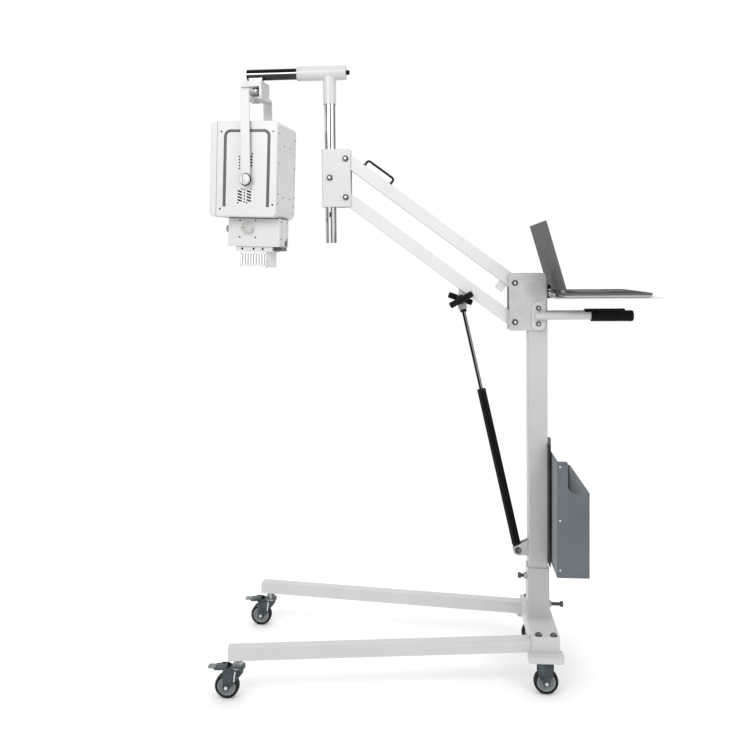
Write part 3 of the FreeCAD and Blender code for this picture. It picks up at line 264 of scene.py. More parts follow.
# black cylinder with thin painted highlight lines
springBlack = surface("springBlack", tone(0.003), tone(0.005), (0.2, 0.34), patches=9, bumps=(800, 0.05, 0.0006),
                      scuffs=(50, tone(0.03)), paintedBands=springPaintedHighlight, across=(0.973, -0.08, 0.21), paintedShineTone=tone(0.09),
                      Specular_IOR_Level=0.04)
zincBolt = surface("zincBolt", tone(0.2, (1, 1, 1.02)), tone(0.05), (0.18, 0.4), metal=1.0, patches=120,
                   bumps=(2500, 0.1, 0.0005))
darkBolt = surface("darkBolt", tone(0.06), tone(0.1), (0.25, 0.42), metal=0.9, patches=90, bumps=(2500, 0.1, 0.0005),
                   Specular_IOR_Level=0.3)
blackPaint = surface("blackPaint", tone(0.006), tone(0.01), (0.25, 0.38), patches=9, bumps=(800, 0.05, 0.0006),
                     scuffs=(50, tone(0.03)), Specular_IOR_Level=0.12)
gripRubber = surface("gripRubber", tone(0.006, (1.05, 1, 1)), tone(0.01), (0.5, 0.72), patches=60,
                     bumps=(2600, 0.5, 0.0006), Specular_IOR_Level=0.06)
blackPlastic = surface("blackPlastic", tone(0.007), tone(0.012), (0.35, 0.5), patches=70, bumps=(2400, 0.3, 0.0006),
                       Specular_IOR_Level=0.1)
greyPlastic = surface("greyPlastic", tone(0.3, (0.99, 1, 1.01)), tone(0.25), (0.35, 0.5), patches=60,
                      bumps=(2200, 0.25, 0.0006), Specular_IOR_Level=0.3)
dialPlastic = surface("dialPlastic", tone(0.42, (1, 1, 0.95)), tone(0.37, (1, 1, 0.96)), (0.35, 0.5), patches=60,
                      bumps=(2200, 0.2, 0.0006))
railPlastic = surface("railPlastic", tone(0.07, (0.98, 1, 1.02)), tone(0.095), (0.35, 0.5), patches=60,
                      bumps=(2200, 0.25, 0.0008), Specular_IOR_Level=0.3)
# a grey for the cast swivel bracket, made darker as painted shade on its faces
castBracketShaded = surface("castBracketShaded", tone(0.55, (0.99, 1, 1.01)), tone(0.47), (0.35, 0.5), metal=0.2, patches=14,
                      bumps=(900, 0.25, 0.001))
forkSteel = surface("forkSteel", tone(0.035, (0.85, 1.12, 1.25)), tone(0.085, (0.85, 1.1, 1.2)), (0.2, 0.4),
                    metal=0.7, patches=30, bumps=(1200, 0.15, 0.0009), scuffs=(120, tone(0.2)),
                    Specular_IOR_Level=0.4)
brightZinc = surface("brightZinc", tone(0.5, (0.97, 1, 1.02)), tone(0.06, (0.95, 1, 1.05)), (0.12, 0.3), metal=1.0,
                     patches=60, bumps=(1500, 0.1, 0.0006))
tyreRubber = surface("tyreRubber", tone(0.01, (0.95, 1.05, 1.08)), tone(0.02), (0.5, 0.75), patches=50,
                     bumps=(1800, 0.35, 0.0008), Specular_IOR_Level=0.15)
hubPlastic = surface("hubPlastic", tone(0.25, (0.93, 1.02, 1.03)), tone(0.2, (0.95, 1.02, 1.03)), (0.35, 0.5),
                     patches=50, bumps=(1800, 0.2, 0.0008), Specular_IOR_Level=0.3)
binPaint = surface("binPaint", tone(0.128, (0.88, 1.02, 1.15)), tone(0.112, (0.88, 1.02, 1.15)), (0.36, 0.48),
                   patches=6, bumps=(1100, 0.25, 0.0008), scuffs=(45, tone(0.16)), Specular_IOR_Level=0.35)
binInnerPaintedLight = surface("binInnerPaintedLight", tone(0.6, (0.97, 1, 1.03)), tone(0.54, (0.97, 1, 1.03)), (0.4, 0.5), patches=6,
                   bumps=(1100, 0.25, 0.0008))
binFlangePaintedLight = surface("binFlangePaintedLight", tone(0.21, (0.94, 1.01, 1.08)), tone(0.185, (0.94, 1.01, 1.08)), (0.4, 0.5), patches=6,
                  bumps=(1100, 0.25, 0.0008))
laptopShell = surface("laptopShell", tone(0.1, (0.95, 1, 1.01)), tone(0.085), (0.5, 0.6), patches=7,
                      bumps=(2600, 0.15, 0.0006), Specular_IOR_Level=0.06)
laptopSilver = surface("laptopSilver", tone(0.42, (0.98, 1, 1.02)), tone(0.36), (0.3, 0.42), metal=0.6, patches=12,
                       bumps=(2600, 0.15, 0.0006))
keyPlastic = surface("keyPlastic", tone(0.012), tone(0.018), (0.45, 0.6), patches=90, bumps=(3000, 0.2, 0.0003))
screenGlass = surface("screenGlass", tone(0.006), tone(0.009), (0.05, 0.12), patches=12, bumps=(200, 0.0, 0.0003),
                      Coat_Weight=0.5, Coat_Roughness=0.05)
clearSkirt = surface("clearSkirt", tone(0.86, (0.99, 1, 1.01)), tone(0.82), (0.2, 0.32), patches=40,
                     bumps=(900, 0.05, 0.0005), Transmission_Weight=0.1, IOR=1.45)
stripeGrey = surface("stripeGrey", tone(0.1, (0.98, 0.99, 1.05)), tone(0.085), (0.4, 0.52), patches=25,
                     bumps=(2200, 0.2, 0.0008), Specular_IOR_Level=0.3)
ventDark = surface("ventDark", tone(0.01), tone(0.016), (0.5, 0.7), patches=80, bumps=(2500, 0.2, 0.0008),
                   Specular_IOR_Level=0.1)
weldPaint = surface("weldPaint", tone(0.55), tone(0.5), (0.32, 0.45), patches=50, bumps=(300, 0.5, 0.0008),
                    Coat_Weight=0.2, Coat_Roughness=0.25)
tankMetal = surface("tankMetal", tone(0.7), tone(0.6), (0.3, 0.5), metal=1.0, patches=8)
# stud steel: the strong light and dark patches are painted reflections on the chrome studs
studSteel = surface("studSteel", tone(0.3), tone(0.01), (0.08, 0.25), metal=1.0, patches=30,
                    bumps=(1500, 0.1, 0.0006))
# a grey that stands for painted shade inside the skirt
skirtInner = surface("skirtInner", tone(0.5, (0.99, 1, 1.01)), tone(0.44), (0.3, 0.45), patches=30,
                     bumps=(900, 0.1, 0.0008))

finishes = {"white_paint": whitePaint, "head_paint": headPaint, "steel": brushedSteel, "chrome": chromeTube,
            "black_chrome": blackChrome, "bolt_steel": zincBolt, "black_paint": blackPaint,
            "grip_rubber": gripRubber, "black_plastic": blackPlastic, "grey_plastic": greyPlastic,
            "fork_steel": forkSteel, "tyre_grey": tyreRubber, "hub_grey": hubPlastic, "bin_paint": binPaint,
            "laptop_shell": laptopShell, "clear_skirt": clearSkirt, "tank_metal": tankMetal}
special = {"mast_clamp": clampShadedPaint, "tee_fitting": clampShadedPaint, "rail_block": railPlastic,
           "swivel_bracket": castBracketShaded, "swivel_stud": studSteel, "spring_cylinder": springBlack,
           "column_tube": columnShadedPaint, "column_socket": columnShadedPaint, "spring_rod": rodChrome,
           "laptop_base": laptopSilver, "stand_bolts": darkBolt, "front_castor_stems": brightZinc}
for entry in frame["record"]["subparts"]:
    shown = frame["nodes"][entry["node"]]
    shown.data.materials.clear()
    shown.data.materials.append(special.get(entry["node"], finishes[entry["material_slot"]]))
print("materials:", len(bpy.data.materials))


# Mesh helpers, all in millimetres
def aimed(at, along):
    return Matrix.Translation(at) @ Vector((0, 0, 1)).rotation_difference(Vector(along)).to_matrix().to_4x4()


def circle(mesh, place, radius, height, steps):
    # a ring of corners, or one corner where the radius is nothing
    turns = [2 * math.pi * i / steps for i in range(steps if radius > 1e-6 else 1)]
    return [mesh.verts.new(place @ Vector((radius * math.cos(a), radius * math.sin(a), height))) for a in turns]


def skin(mesh, rings, loop=False):
    # faces from each ring of corners to the next
    for low, high in list(zip(rings, rings[1:])) + ([(rings[-1], rings[0])] if loop else []):
        steps = max(len(low), len(high))
        for i in range(steps):
            j = (i + 1) % steps
            corners = [low[i % len(low)], low[j % len(low)], high[j % len(high)], high[i % len(high)]]
            mesh.faces.new(list(dict.fromkeys(corners)))


def lathe(mesh, outline, at=(0, 0, 0), along=(0, 0, 1), steps=48, ring=False):
    # turns (radius, height) corners about a line
    place = aimed(at, along)
    skin(mesh, [circle(mesh, place, radius, height, steps) for radius, height in outline], ring)


def block(mesh, low, high, edge=0.0, steps=2, place=None):
    made = bmesh.ops.create_cube(mesh, size=1)["verts"]
    size = [b - a for a, b in zip(low, high)]
    middle = [(a + b) / 2 for a, b in zip(low, high)]
    for vert in made:
        vert.co = Vector([c * s + m for c, s, m in zip(vert.co, size, middle)])
        if place:
            vert.co = place @ vert.co
    if edge:
        edges = list(dict.fromkeys(e for vert in made for e in vert.link_edges))
        bmesh.ops.bevel(mesh, geom=edges, offset=edge, segments=steps, profile=0.5, affect="EDGES")


def slab(mesh, outline, low, high, axis=1):
    # a flat outline given thickness along one axis
    def corner(a, b, depth):
        return (depth, a, b) if axis == 0 else (a, depth, b) if axis == 1 else (a, b, depth)
    near = [mesh.verts.new(corner(a, b, low)) for a, b in outline]
    far = [mesh.verts.new(corner(a, b, high)) for a, b in outline]
    mesh.faces.new(near)
    mesh.faces.new(far[::-1])
    for i in range(len(near)):
        j = (i + 1) % len(near)
        mesh.faces.new([near[j], near[i], far[i], far[j]])


def plates(mesh, outline, near, far, y=0):
    # the same plate on both sides of a middle
    for face in (-1, 1):
        slab(mesh, outline, y + face * near, y + face * far)


def rounded(left, low, right, high, radius, steps=6):
    # the outline of a rectangle with round corners
    corners = ((right - radius, high - radius, 0), (left + radius, high - radius, 90),
               (left + radius, low + radius, 180), (right - radius, low + radius, 270))
    return [(x + radius * math.cos(math.radians(start + 90 * i / steps)),
             z + radius * math.sin(math.radians(start + 90 * i / steps)))
            for x, z, start in corners for i in range(steps + 1)]


def turned(outline, x, z, degrees):
    # an outline leant over and then moved
    c, s = math.cos(math.radians(degrees)), math.sin(math.radians(degrees))
    return [(x + a * c - b * s, z + a * s + b * c) for a, b in outline]


def bent(points, radius, steps=6):
    # points with their inner corners rounded
    points = [Vector(p) for p in points]
    path = [points[0]]
    for before, corner, after in zip(points, points[1:], points[2:]):
        a, b = (corner + (end - corner).normalized() * radius for end in (before, after))
        path += [a.lerp(corner, i / steps).lerp(corner.lerp(b, i / steps), i / steps) for i in range(steps + 1)]
    return path + [points[-1]]


def rod(mesh, points, radius, steps=12, loop=False):
    # a round bar along points, open or closed into a loop
    points = [Vector(p) for p in points]
    count = len(points)
    rings = []
    side = None
    for i, spot in enumerate(points):
        before = points[(i - 1) % count] if loop or i else spot
        after = points[(i + 1) % count] if loop or i < count - 1 else spot
        ahead = (after - before).normalized()
        side = ahead.orthogonal() if side is None else side - ahead * side.dot(ahead)
        side.normalize()
        other = ahead.cross(side)
        rings.append([mesh.verts.new(spot + (side * math.cos(2 * math.pi * k / steps) +
                                             other * math.sin(2 * math.pi * k / steps)) * radius)
                      for k in range(steps)])
    skin(mesh, rings, loop)
    if not loop:
        mesh.faces.new(rings[0][::-1])
        mesh.faces.new(rings[-1])


def hexHead(mesh, at, along, flats, high, washer=0.0):
    # a chamfered six-sided head on an optional washer
    base = 1.5 if washer else 0
    if washer:
        lathe(mesh, [(0, 0), (washer - 0.3, 0), (washer, 0.3), (washer, 1.2), (washer - 0.3, base), (0, base)],
              at, along, 32)
    reach, place = flats / math.sqrt(3), aimed(at, along)
    rings = [circle(mesh, place, radius, base + height, 6)
             for radius, height in ((reach, 0), (reach, high - flats * 0.06), (reach * 0.9, high))]
    skin(mesh, rings)
    mesh.faces.new(rings[-1])
    mesh.faces.new(rings[0][::-1])


def capScrew(mesh, at, along, radius, high):
    # a round head with a sunk socket
    lathe(mesh, [(0, 0), (radius, 0), (radius, high * 0.7), (radius * 0.85, high), (radius * 0.5, high),
                 (radius * 0.45, high * 0.35), (0, high * 0.35)], at, along, 24)


def show(name, mesh):
    data = bpy.data.meshes.new(name)
    mesh.to_mesh(data)
    mesh.free()
    made = bpy.data.objects.new(name, data)
    bpy.context.collection.objects.link(made)
    return made, data


def piece(name, mesh, place, body, finish, hides=(), edge=0.0, smooth=32):
    # turns a mesh into a finished object that moves with its body
    bmesh.ops.recalc_face_normals(mesh, faces=mesh.faces)
    made, data = show(name, mesh)
    data.transform(place)
    if edge:
        bpy.ops.object.select_all(action="DESELECT")
        made.select_set(True)
        bpy.context.view_layer.objects.active = made
        bevel = made.modifiers.new("bevel", "BEVEL")
        bevel.width = edge / 1000
        bevel.segments = 2
        bevel.limit_method = "ANGLE"
        bevel.angle_limit = math.radians(40)
        bpy.ops.object.modifier_apply(modifier="bevel")
    data.polygons.foreach_set("use_smooth", [True] * len(data.polygons))
    data.set_sharp_from_angle(angle=math.radians(smooth))
    data.materials.append(finish)
    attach(made, body)
    if hides:
        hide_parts(*hides)
    return made


# Head: grey stripe, seam line, a dark line of painted shadow under the head, screws and vents on both faces
shell = {"side": 92, "back": 99.9, "low": -117, "high": 187, "seam": -105.15, "shadowLine": -118.3}
stripe = {"left": -82.5, "right": 75, "top": 160, "low": -85, "inLeft": -72.3, "inRight": 65, "inTop": 151,
          "outerRadius": 22, "innerRadius": 13}


def stripeOutline():
    def arch(left, right, top, radius):
        path = [(left, stripe["low"])]
        turns = [math.radians(a) for a in range(0, 91, 10)]
        path += [(left + radius - radius * math.cos(a), top - radius + radius * math.sin(a)) for a in turns]
        path += [(right - radius + radius * math.sin(a), top - radius + radius * math.cos(a)) for a in turns]
        return path + [(right, stripe["low"])]
    outer = arch(stripe["left"], stripe["right"], stripe["top"], stripe["outerRadius"])
    return outer + arch(stripe["inLeft"], stripe["inRight"], stripe["inTop"], stripe["innerRadius"])[::-1]


mesh = bmesh.new()
plates(mesh, stripeOutline(), shell["side"] - 0.4, shell["side"] + 0.5)
piece("headStripe", mesh, head, "head", stripeGrey, edge=0.25)

headScrews = {"spots": ((-91.5, 153.6), (83.7, 152.9), (86.2, -77.7), (-91.5, -92)), "radius": 3.2, "high": 1.2,
              "outer": (-72, -42, 54, 148), "inner": (114, -51)}
mesh = bmesh.new()
for side, hand in sides:
    for x, z in headScrews["spots"]:
        capScrew(mesh, (x, side * (shell["side"] - 0.1), z), (0, side, 0), headScrews["radius"], headScrews["high"])
for y, column in ((-78, "outer"), (78, "outer"), (30, "inner"), (-30, "inner")):
    for z in headScrews[column]:
        capScrew(mesh, (shell["back"], y, z), (1, 0, 0), 2.6, 1.1)
piece("headScrews", mesh, head, "head", zincBolt)

mesh = bmesh.new()
around = rounded(-shell["side"], shell["low"], shell["side"], shell["high"], 5, 5)
rod(mesh, [(shell["seam"], y, z) for y, z in around], 0.45, 8, loop=True)
# a dark line of painted shadow under the head, round the collimator's top
rod(mesh, [(x, y, shell["shadowLine"]) for x, y in rounded(-81.5, -45.3, 95.7, 45.3, 8, 5)], 1.3, 8, loop=True)
piece("headSeamShadowLine", mesh, head, "head", ventDark)

vents = {"dotRadius": 2.7, "slotWide": 5, "long": 17, "lean": -19, "pitch": 9.5,
         "dotTops": ((-28, 74.5), (-8.7, -31.3)),
         "slotTops": ((-10, 75.3), (8.7, 75.3), (-24.4, -36.4), (6.7, -36.4)),
         "ends": ((16, 82), (-17.7, -28.6), (13.6, -28.4), (-30.6, -72.5), (-0.2, -72.3))}


def ventSlot(mesh, side, x, z):
    # a dark slot with round ends, tilted across the face
    radius = vents["slotWide"] / 2
    half = vents["long"] / 2 - radius
    ends = [(end * half, math.radians(start + 30 * i)) for end, start in ((1, -90), (-1, 90)) for i in range(7)]
    outline = turned([(at + radius * math.cos(a), radius * math.sin(a)) for at, a in ends], x, z, vents["lean"])
    slab(mesh, outline, side * (shell["side"] - 0.2), side * (shell["side"] + 0.12))


def ventDot(mesh, side, x, z):
    lathe(mesh, [(0, 0), (vents["dotRadius"], 0), (vents["dotRadius"], 0.12), (0, 0.12)],
          (x, side * shell["side"], z), (0, side, 0), 12)


mesh = bmesh.new()
for side, hand in sides:
    for row in range(5):
        drop = row * vents["pitch"]
        for x, z in vents["dotTops"]:
            ventDot(mesh, side, x, z - drop)
        if row < 4:
            for x, z in vents["slotTops"]:
                ventSlot(mesh, side, x, z - drop)
    for x, z in vents["ends"]:
        ventDot(mesh, side, x, z)
piece("headVents", mesh, head, "head", ventDark)

# Collimator: dial with a scale ring, screws, side knob, socket, seams, window and slotted skirt
box = {"front": -45, "back": 96, "low": -206, "high": -119.5, "side": 40}
dial = {"x": -13.6, "z": -153, "long": 19.5, "short": 14, "lean": -14, "screws": 27}
mesh = bmesh.new()
turns = [2 * math.pi * step / 72 for step in range(72)]
oval = [(dial["long"] * math.cos(a), dial["short"] * math.sin(a)) for a in turns]
slab(mesh, turned(oval, dial["x"], dial["z"], dial["lean"]), box["front"] - 2.5, box["front"] - 8.1)
lathe(mesh, [(0, 0.3), (12, 0.3), (12.6, 1), (12.6, 3), (0, 3)], (dial["x"], box["front"], dial["z"]), (0, -1, 0), 56)
piece("dialKnob", mesh, head, "collimator_dial", dialPlastic, hides=("collimator_dial",), edge=1.6)
mesh = bmesh.new()
block(mesh, (-17, -0.35, -0.9), (-8, 0.15, 0.9), 0.2,
      place=shift(dial["x"], box["front"] - 8, dial["z"]) @ spin("Y", -dial["lean"]))
piece("dialPointer", mesh, head, "collimator_dial", railPlastic)

mesh = bmesh.new()
lathe(mesh, [(0, 0), (24, 0), (24, 0.3), (23.5, 0.5), (0, 0.5)], (dial["x"], box["front"] + 0.05, dial["z"]),
      (0, -1, 0), 64)
piece("dialRing", mesh, head, "head", headPaint)
mesh = bmesh.new()
for step in range(13):
    place = shift(dial["x"], box["front"] - 0.4, dial["z"]) @ spin("Y", 30 - 20 * step)
    rod(mesh, [place @ Vector((reach, 0, 0)) for reach in (20.5, 23.4)], 0.3, 6)
piece("dialTicks", mesh, head, "head", stripeGrey)

mesh = bmesh.new()
for dx in (-dial["screws"], dial["screws"]):
    for dz in (-dial["screws"], dial["screws"]):
        capScrew(mesh, (dial["x"] + dx, box["front"] + 0.1, dial["z"] + dz), (0, -1, 0), 2.6, 1.3)
for side, hand in sides:
    for x in (-33, 6.5, 37.6):
        capScrew(mesh, (x, side * (box["side"] - 0.1), box["low"] - 11), (0, side, 0), 3.4, 2.2)
    for z in (-129, -184):
        capScrew(mesh, (box["back"] - 0.1, side * 30, z), (1, 0, 0), 2.4, 1.1)
piece("collimatorScrews", mesh, head, "head", blackPlastic)

sideKnob = {"at": Vector((-82, -28, -153)), "ribs": 16, "ribsAt": 10.5}
mesh = bmesh.new()
lathe(mesh, [(0, 0.3), (10, 0.3), (11, 1.5), (10.4, 8.8), (9.2, 10.2), (0, 10.2)], sideKnob["at"], (-1, 0, 0), 48)
for step in range(sideKnob["ribs"]):
    turn = 2 * math.pi * step / sideKnob["ribs"]
    lathe(mesh, [(0, 1.4), (1, 1.4), (1, 8.6), (0, 9)],
          sideKnob["at"] + sideKnob["ribsAt"] * Vector((0, math.cos(turn), math.sin(turn))), (-1, 0, 0), 8)
piece("sideKnob", mesh, head, "collimator_side_knob", greyPlastic, hides=("collimator_side_knob",))

socket = {"y": 18, "low": -206, "high": -188}
mesh = bmesh.new()
block(mesh, (box["back"] - 0.1, socket["y"] - 8, socket["low"]), (99, socket["y"] + 8, socket["high"]), 1.2)
block(mesh, (98.8, socket["y"] - 5, socket["low"] + 3), (99.4, socket["y"] + 5, socket["high"] - 3), 0.2)
piece("collimatorSocket", mesh, head, "head", railPlastic)
mesh = bmesh.new()
behind = box["back"] + 0.1
for z in (box["high"], box["low"]):
    rod(mesh, [(behind, -box["side"], z), (behind, box["side"], z)], 0.35, 8)
for y in (-22, 22):
    rod(mesh, [(behind, y, box["high"]), (behind, y, box["low"])], 0.3, 8)
piece("collimatorSeams", mesh, head, "head", stripeGrey)

mesh = bmesh.new()
block(mesh, (-31, -box["side"], box["low"] - 2.9), (49, box["side"], box["low"] - 0.8), 0.5)
piece("beamWindow", mesh, head, "head", screenGlass)

skirt = {"front": -36, "rear": 54, "half": 45, "top": -226, "low": -277, "wall": 3, "rim": 7, "pitch": 10, "bar": 2.6}


def skirtWall(mesh, sleeve, reach, place):
    # rims along the top and the bottom of one wall, joined by upright bars in front of an inner grey sleeve that is
    # painted shade seen through the slots
    low, top, wall, bar = skirt["low"], skirt["top"], skirt["wall"], skirt["bar"]
    block(mesh, (-reach, 0, top - skirt["rim"]), (reach, wall, top), 0.5, 1, place)
    block(mesh, (-reach, 0, low), (reach, wall, low + skirt["rim"]), 0.5, 1, place)
    count = round(2 * reach / skirt["pitch"])
    for step in range(count + 1):
        at = (reach - bar) * (2 * step / count - 1)
        block(mesh, (at - bar, 0, low + 1), (at + bar, wall, top - 1), 0.7, 1, place)
    block(sleeve, (3.4 - reach, wall + 0.2, low + 2), (reach - 3.4, wall + 1, top - 2), 0.2, 1, place)


mesh, sleeve = bmesh.new(), bmesh.new()
middle = (skirt["front"] + skirt["rear"]) / 2
for quarter in range(4):
    skirtWall(mesh, sleeve, (skirt["rear"] - skirt["front"]) / 2,
              shift(middle, 0, 0) @ spin("Z", 90 * quarter) @ shift(0, -skirt["half"], 0))
piece("slottedSkirt", mesh, head, "head", clearSkirt, hides=("beam_spacer",))
piece("skirtShadeSleeve", sleeve, head, "head", skirtInner)

# Yoke knobs: white caps with a raised bar, on dark washers; the washers' wide rims and a dark strip beside the bar
# are painted shadow
knob = {"face": 106.3, "radius": 17, "thick": 12, "washer": 19.8, "slot": -4.5}
for side, hand in sides:
    radius, thick = knob["radius"], knob["thick"]
    front = side * (knob["face"] + thick)
    mesh = bmesh.new()
    lathe(mesh, [(0, 3.2), (radius - 1, 3.2), (radius, 4.2), (radius, thick - 3), (radius - 1, thick - 1),
                 (radius - 3.5, thick), (0, thick)], (0, side * knob["face"], 0), (0, side, 0), 64)
    block(mesh, (knob["slot"] + 1, front - 1.8, -13), (2.4, front + 1.8, 13), 0.8)
    piece("yokeKnob_" + hand, mesh, head, "yoke_knob_" + hand, headPaint,
          hides=("yoke_knob_" + hand,))
    # a black washer widened so its rim paints the shadow round the knob, and a thin dark strip of painted shadow
    # beside the bar
    mesh = bmesh.new()
    rim = knob["washer"]
    lathe(mesh, [(9.5, 0), (rim - 0.4, 0), (rim, 0.4), (rim, 2.8), (rim - 0.4, 3.2), (9.5, 3.2)],
          (0, side * (knob["face"] - 0.2), 0), (0, side, 0), 64, ring=True)
    block(mesh, (knob["slot"] - 0.9, front - 0.2, -12), (knob["slot"] + 0.9, front + 0.2, 12.5), 0.1)
    piece("yokeWasherShadow_" + hand, mesh, head, "yoke_knob_" + hand, blackPlastic)
print("head done")

# Grips: ribbed rubber sleeves with flanged ends
grip = {"start": 160, "side": 51, "z": 1148, "ribs": 14, "pitch": 7.2}


def gripOutline():
    outline = [(12.2, 0), (16.4, 0), (17.5, 1), (17.5, 4), (16.6, 5)]
    for step in range(grip["ribs"]):
        z = 7 + step * grip["pitch"]
        outline += [(16.4, z), (17.3, z + 1), (17.3, z + 5), (16.4, z + 6)]
    return outline + [(16.6, 110), (17.5, 111), (17.5, 116.5), (16.7, 117), (16.7, 118.2), (17.4, 118.8),
                      (17.3, 126), (15.5, 128.4), (12, 129), (0, 129)]


mesh = bmesh.new()
for side, hand in sides:
    lathe(mesh, gripOutline(), (grip["start"], side * grip["side"], grip["z"]), (1, 0, 0), 56)
piece("handleGrips", mesh, stand, "stand", gripRubber, hides=("handle_grips",))

# Release grips: short ribbed bars across the spring's pins
release = {"x": -241.936, "z": 1200.585, "side": 38, "rake": (28.8, -19)}
for (side, hand), rake in zip(sides, release["rake"]):
    mesh = bmesh.new()
    outline = [(0, -41), (6, -41), (9, -39.5), (10, -37)]
    for step in range(10):
        z = -34 + step * 6.8
        outline += [(9.2, z), (10, z + 0.9), (10, z + 4.6), (9.2, z + 5.5)]
    outline += [(10, 37), (9, 39.5), (6, 41), (0, 41)]
    turn = math.radians(rake)
    lathe(mesh, outline, (0, side * release["side"], 0), (math.cos(turn), 0, math.sin(turn)), 40)
    lathe(mesh, [(5.2, 16), (7.6, 16), (8, 16.6), (8, 29.5), (5.2, 29.5)], (0, 0, 0), (0, side, 0), 32, ring=True)
    piece("releaseGrip_" + hand, mesh, stand @ shift(release["x"], 0, release["z"]), "release_grip_" + hand,
          gripRubber, hides=("release_grip_" + hand,))

# Bow handle: one bent rod on two screwed feet
bow = {"near": -613, "far": -509, "foot": 20.5, "top": 40.25, "radius": 3.75, "bend": 9}
mesh = bmesh.new()
rod(mesh, bent([(bow["near"], 0, bow["foot"]), (bow["near"], 0, bow["top"]), (bow["far"], 0, bow["top"]),
                (bow["far"], 0, bow["foot"])], bow["bend"]), bow["radius"], 20)
for x in (bow["near"], bow["far"]):
    lathe(mesh, [(0, 0), (8, 0), (8, 1.4), (7, 2.4), (4, 3), (0, 3)], (x, 0, bow["foot"] - 0.45), (0, 0, 1), 32)
piece("bowHandle", mesh, upperArm, "upper_arm", blackPaint, hides=("bow_handle",))

# Boom lock: a knurled screw on the tee's end
lock = {"x": mast["teeRear"] + 0.3, "z": mast["boom"], "radius": 7.1, "ridges": 24}
mesh = bmesh.new()
lathe(mesh, [(0, 0), (6.6, 0), (7.1, 0.6), (7.1, 9.2), (6.3, 10.6), (2.4, 10.6), (2.2, 8), (0, 8)],
      (lock["x"], 0, lock["z"]), (1, 0, 0), 40)
for step in range(lock["ridges"]):
    turn = 2 * math.pi * step / lock["ridges"]
    y, z = lock["radius"] * math.cos(turn), lock["z"] + lock["radius"] * math.sin(turn)
    rod(mesh, [(lock["x"] + 1, y, z), (lock["x"] + 9, y, z)], 0.35, 6)
piece("boomLockKnob", mesh, stand, "lock_screw", blackPlastic, hides=("boom_lock_screw",))
print("small handles done")

# Washers and bolt caps over the plain bolt heads, with the bright ends of the screws standing out of them
bolts = {"bracketY": 34, "handleY": 40, "handleZ": (1122.5, 1172.5), "clampX": -609.982, "clampY": 25,
         "clampZ": (1533.022, 1657.522), "mastZ": 1597, "standX": (-16, 30), "standY": 145, "standZ": 171}


def nutAndTip(mesh, tips, at, side, flats=14.4, washer=10, tip=4):
    hexHead(mesh, at, (0, side, 0), flats, 6.4, washer)
    lathe(tips, [(0, 7), (tip, 7), (tip, 9.6), (tip - 0.8, 10.6), (0, 10.6)], at, (0, side, 0), 28)


mesh, tips = bmesh.new(), bmesh.new()
for side, hand in sides:
    for z in (arm["lower"], arm["upper"]):
        nutAndTip(mesh, tips, (arm["x"], side * bolts["bracketY"], z), side)
    for z in bolts["handleZ"]:
        nutAndTip(mesh, tips, (0, side * bolts["handleY"], z), side, 12.4, 8, 3.4)
piece("bracketBoltCaps", mesh, stand, "stand", zincBolt, hides=("bracket_bolts",))
piece("bracketBoltTips", tips, stand, "stand", tankMetal)

mesh, tips = bmesh.new(), bmesh.new()
for side, hand in sides:
    for z in bolts["clampZ"]:
        nutAndTip(mesh, tips, (bolts["clampX"], side * bolts["clampY"], z), side)
nutAndTip(mesh, tips, (mast["x"], -bolts["clampY"], bolts["mastZ"]), -1)
piece("clampBoltCaps", mesh, stand, "mast_carrier", zincBolt, hides=("mast_clamp_bolts",))
piece("clampBoltTips", tips, stand, "mast_carrier", tankMetal)

mesh = bmesh.new()
for side, hand in sides:
    for x in bolts["standX"]:
        hexHead(mesh, (x, side * bolts["standY"], bolts["standZ"]), (0, 0, 1), 16.4, 5.6, 11)
    hexHead(mesh, (foot["x"], side * 14, foot["z"]), (0, side, 0), 16.4, 6, 11)
piece("standBoltCaps", mesh, stand, "stand", zincBolt)
mesh = bmesh.new()
capScrew(mesh, (-53, 0, 300), (-1, 0, 0), 9.2, 9)
capScrew(mesh, (73, 0, 208), (1, 0, 0), 9.2, 9)
piece("clampScrewHeads", mesh, stand, "stand", darkBolt)
print("bolts done")

# Laptop: keyboard, touch pad, screen and hinge covers
laptop = {"left": 57.7, "right": 316.3, "top": 1223.5, "half": 175.3}
keys = {"x": 99, "y": 148.0, "pitch": 18.2, "deep": 16.4, "flat": 11, "span": 296, "gap": 1.0}
mesh = bmesh.new()
slab(mesh, rounded(laptop["left"], -laptop["half"], laptop["right"], laptop["half"], 8), laptop["top"] - 7,
     laptop["top"] + 0.15, axis=2)
piece("laptopDeck", mesh, stand, "stand", laptopShell, edge=0.4)
mesh = bmesh.new()
block(mesh, (70, -171, laptop["top"]), (302, 171, laptop["top"] + 0.6), 0.25)
piece("keyboardBed", mesh, stand, "stand", ventDark)
mesh = bmesh.new()
for row in range(6):
    x = keys["x"] + row * keys["pitch"]
    deep = keys["deep"] if row else keys["flat"]
    widths = [1] * 15 if row in (0, 1) else [1.5] + [1] * 12 + [1.5] if row in (2, 3) else \
        [2] + [1] * 11 + [2] if row == 4 else [1.25] * 3 + [6.25] + [1.25] * 4
    unit = keys["span"] / sum(widths)
    y = keys["y"]
    for wide in widths:
        block(mesh, (x, y - wide * unit + keys["gap"], laptop["top"] + 0.3),
              (x + deep, y - keys["gap"], laptop["top"] + 1.8), 0.5, 1)
        y -= wide * unit
piece("keyboardKeys", mesh, stand, "stand", keyPlastic)
mesh = bmesh.new()
slab(mesh, rounded(224, -52, 292, 52, 3), laptop["top"], laptop["top"] + 0.8, axis=2)
piece("touchPad", mesh, stand, "stand", blackPlastic, edge=0.15)
mesh = bmesh.new()
slab(mesh, rounded(-170, 11, 170, 217, 4), 2.9, 3.35, axis=0)
piece("screenPanel", mesh, lid, "laptop_lid", screenGlass, edge=0.15)
mesh = bmesh.new()
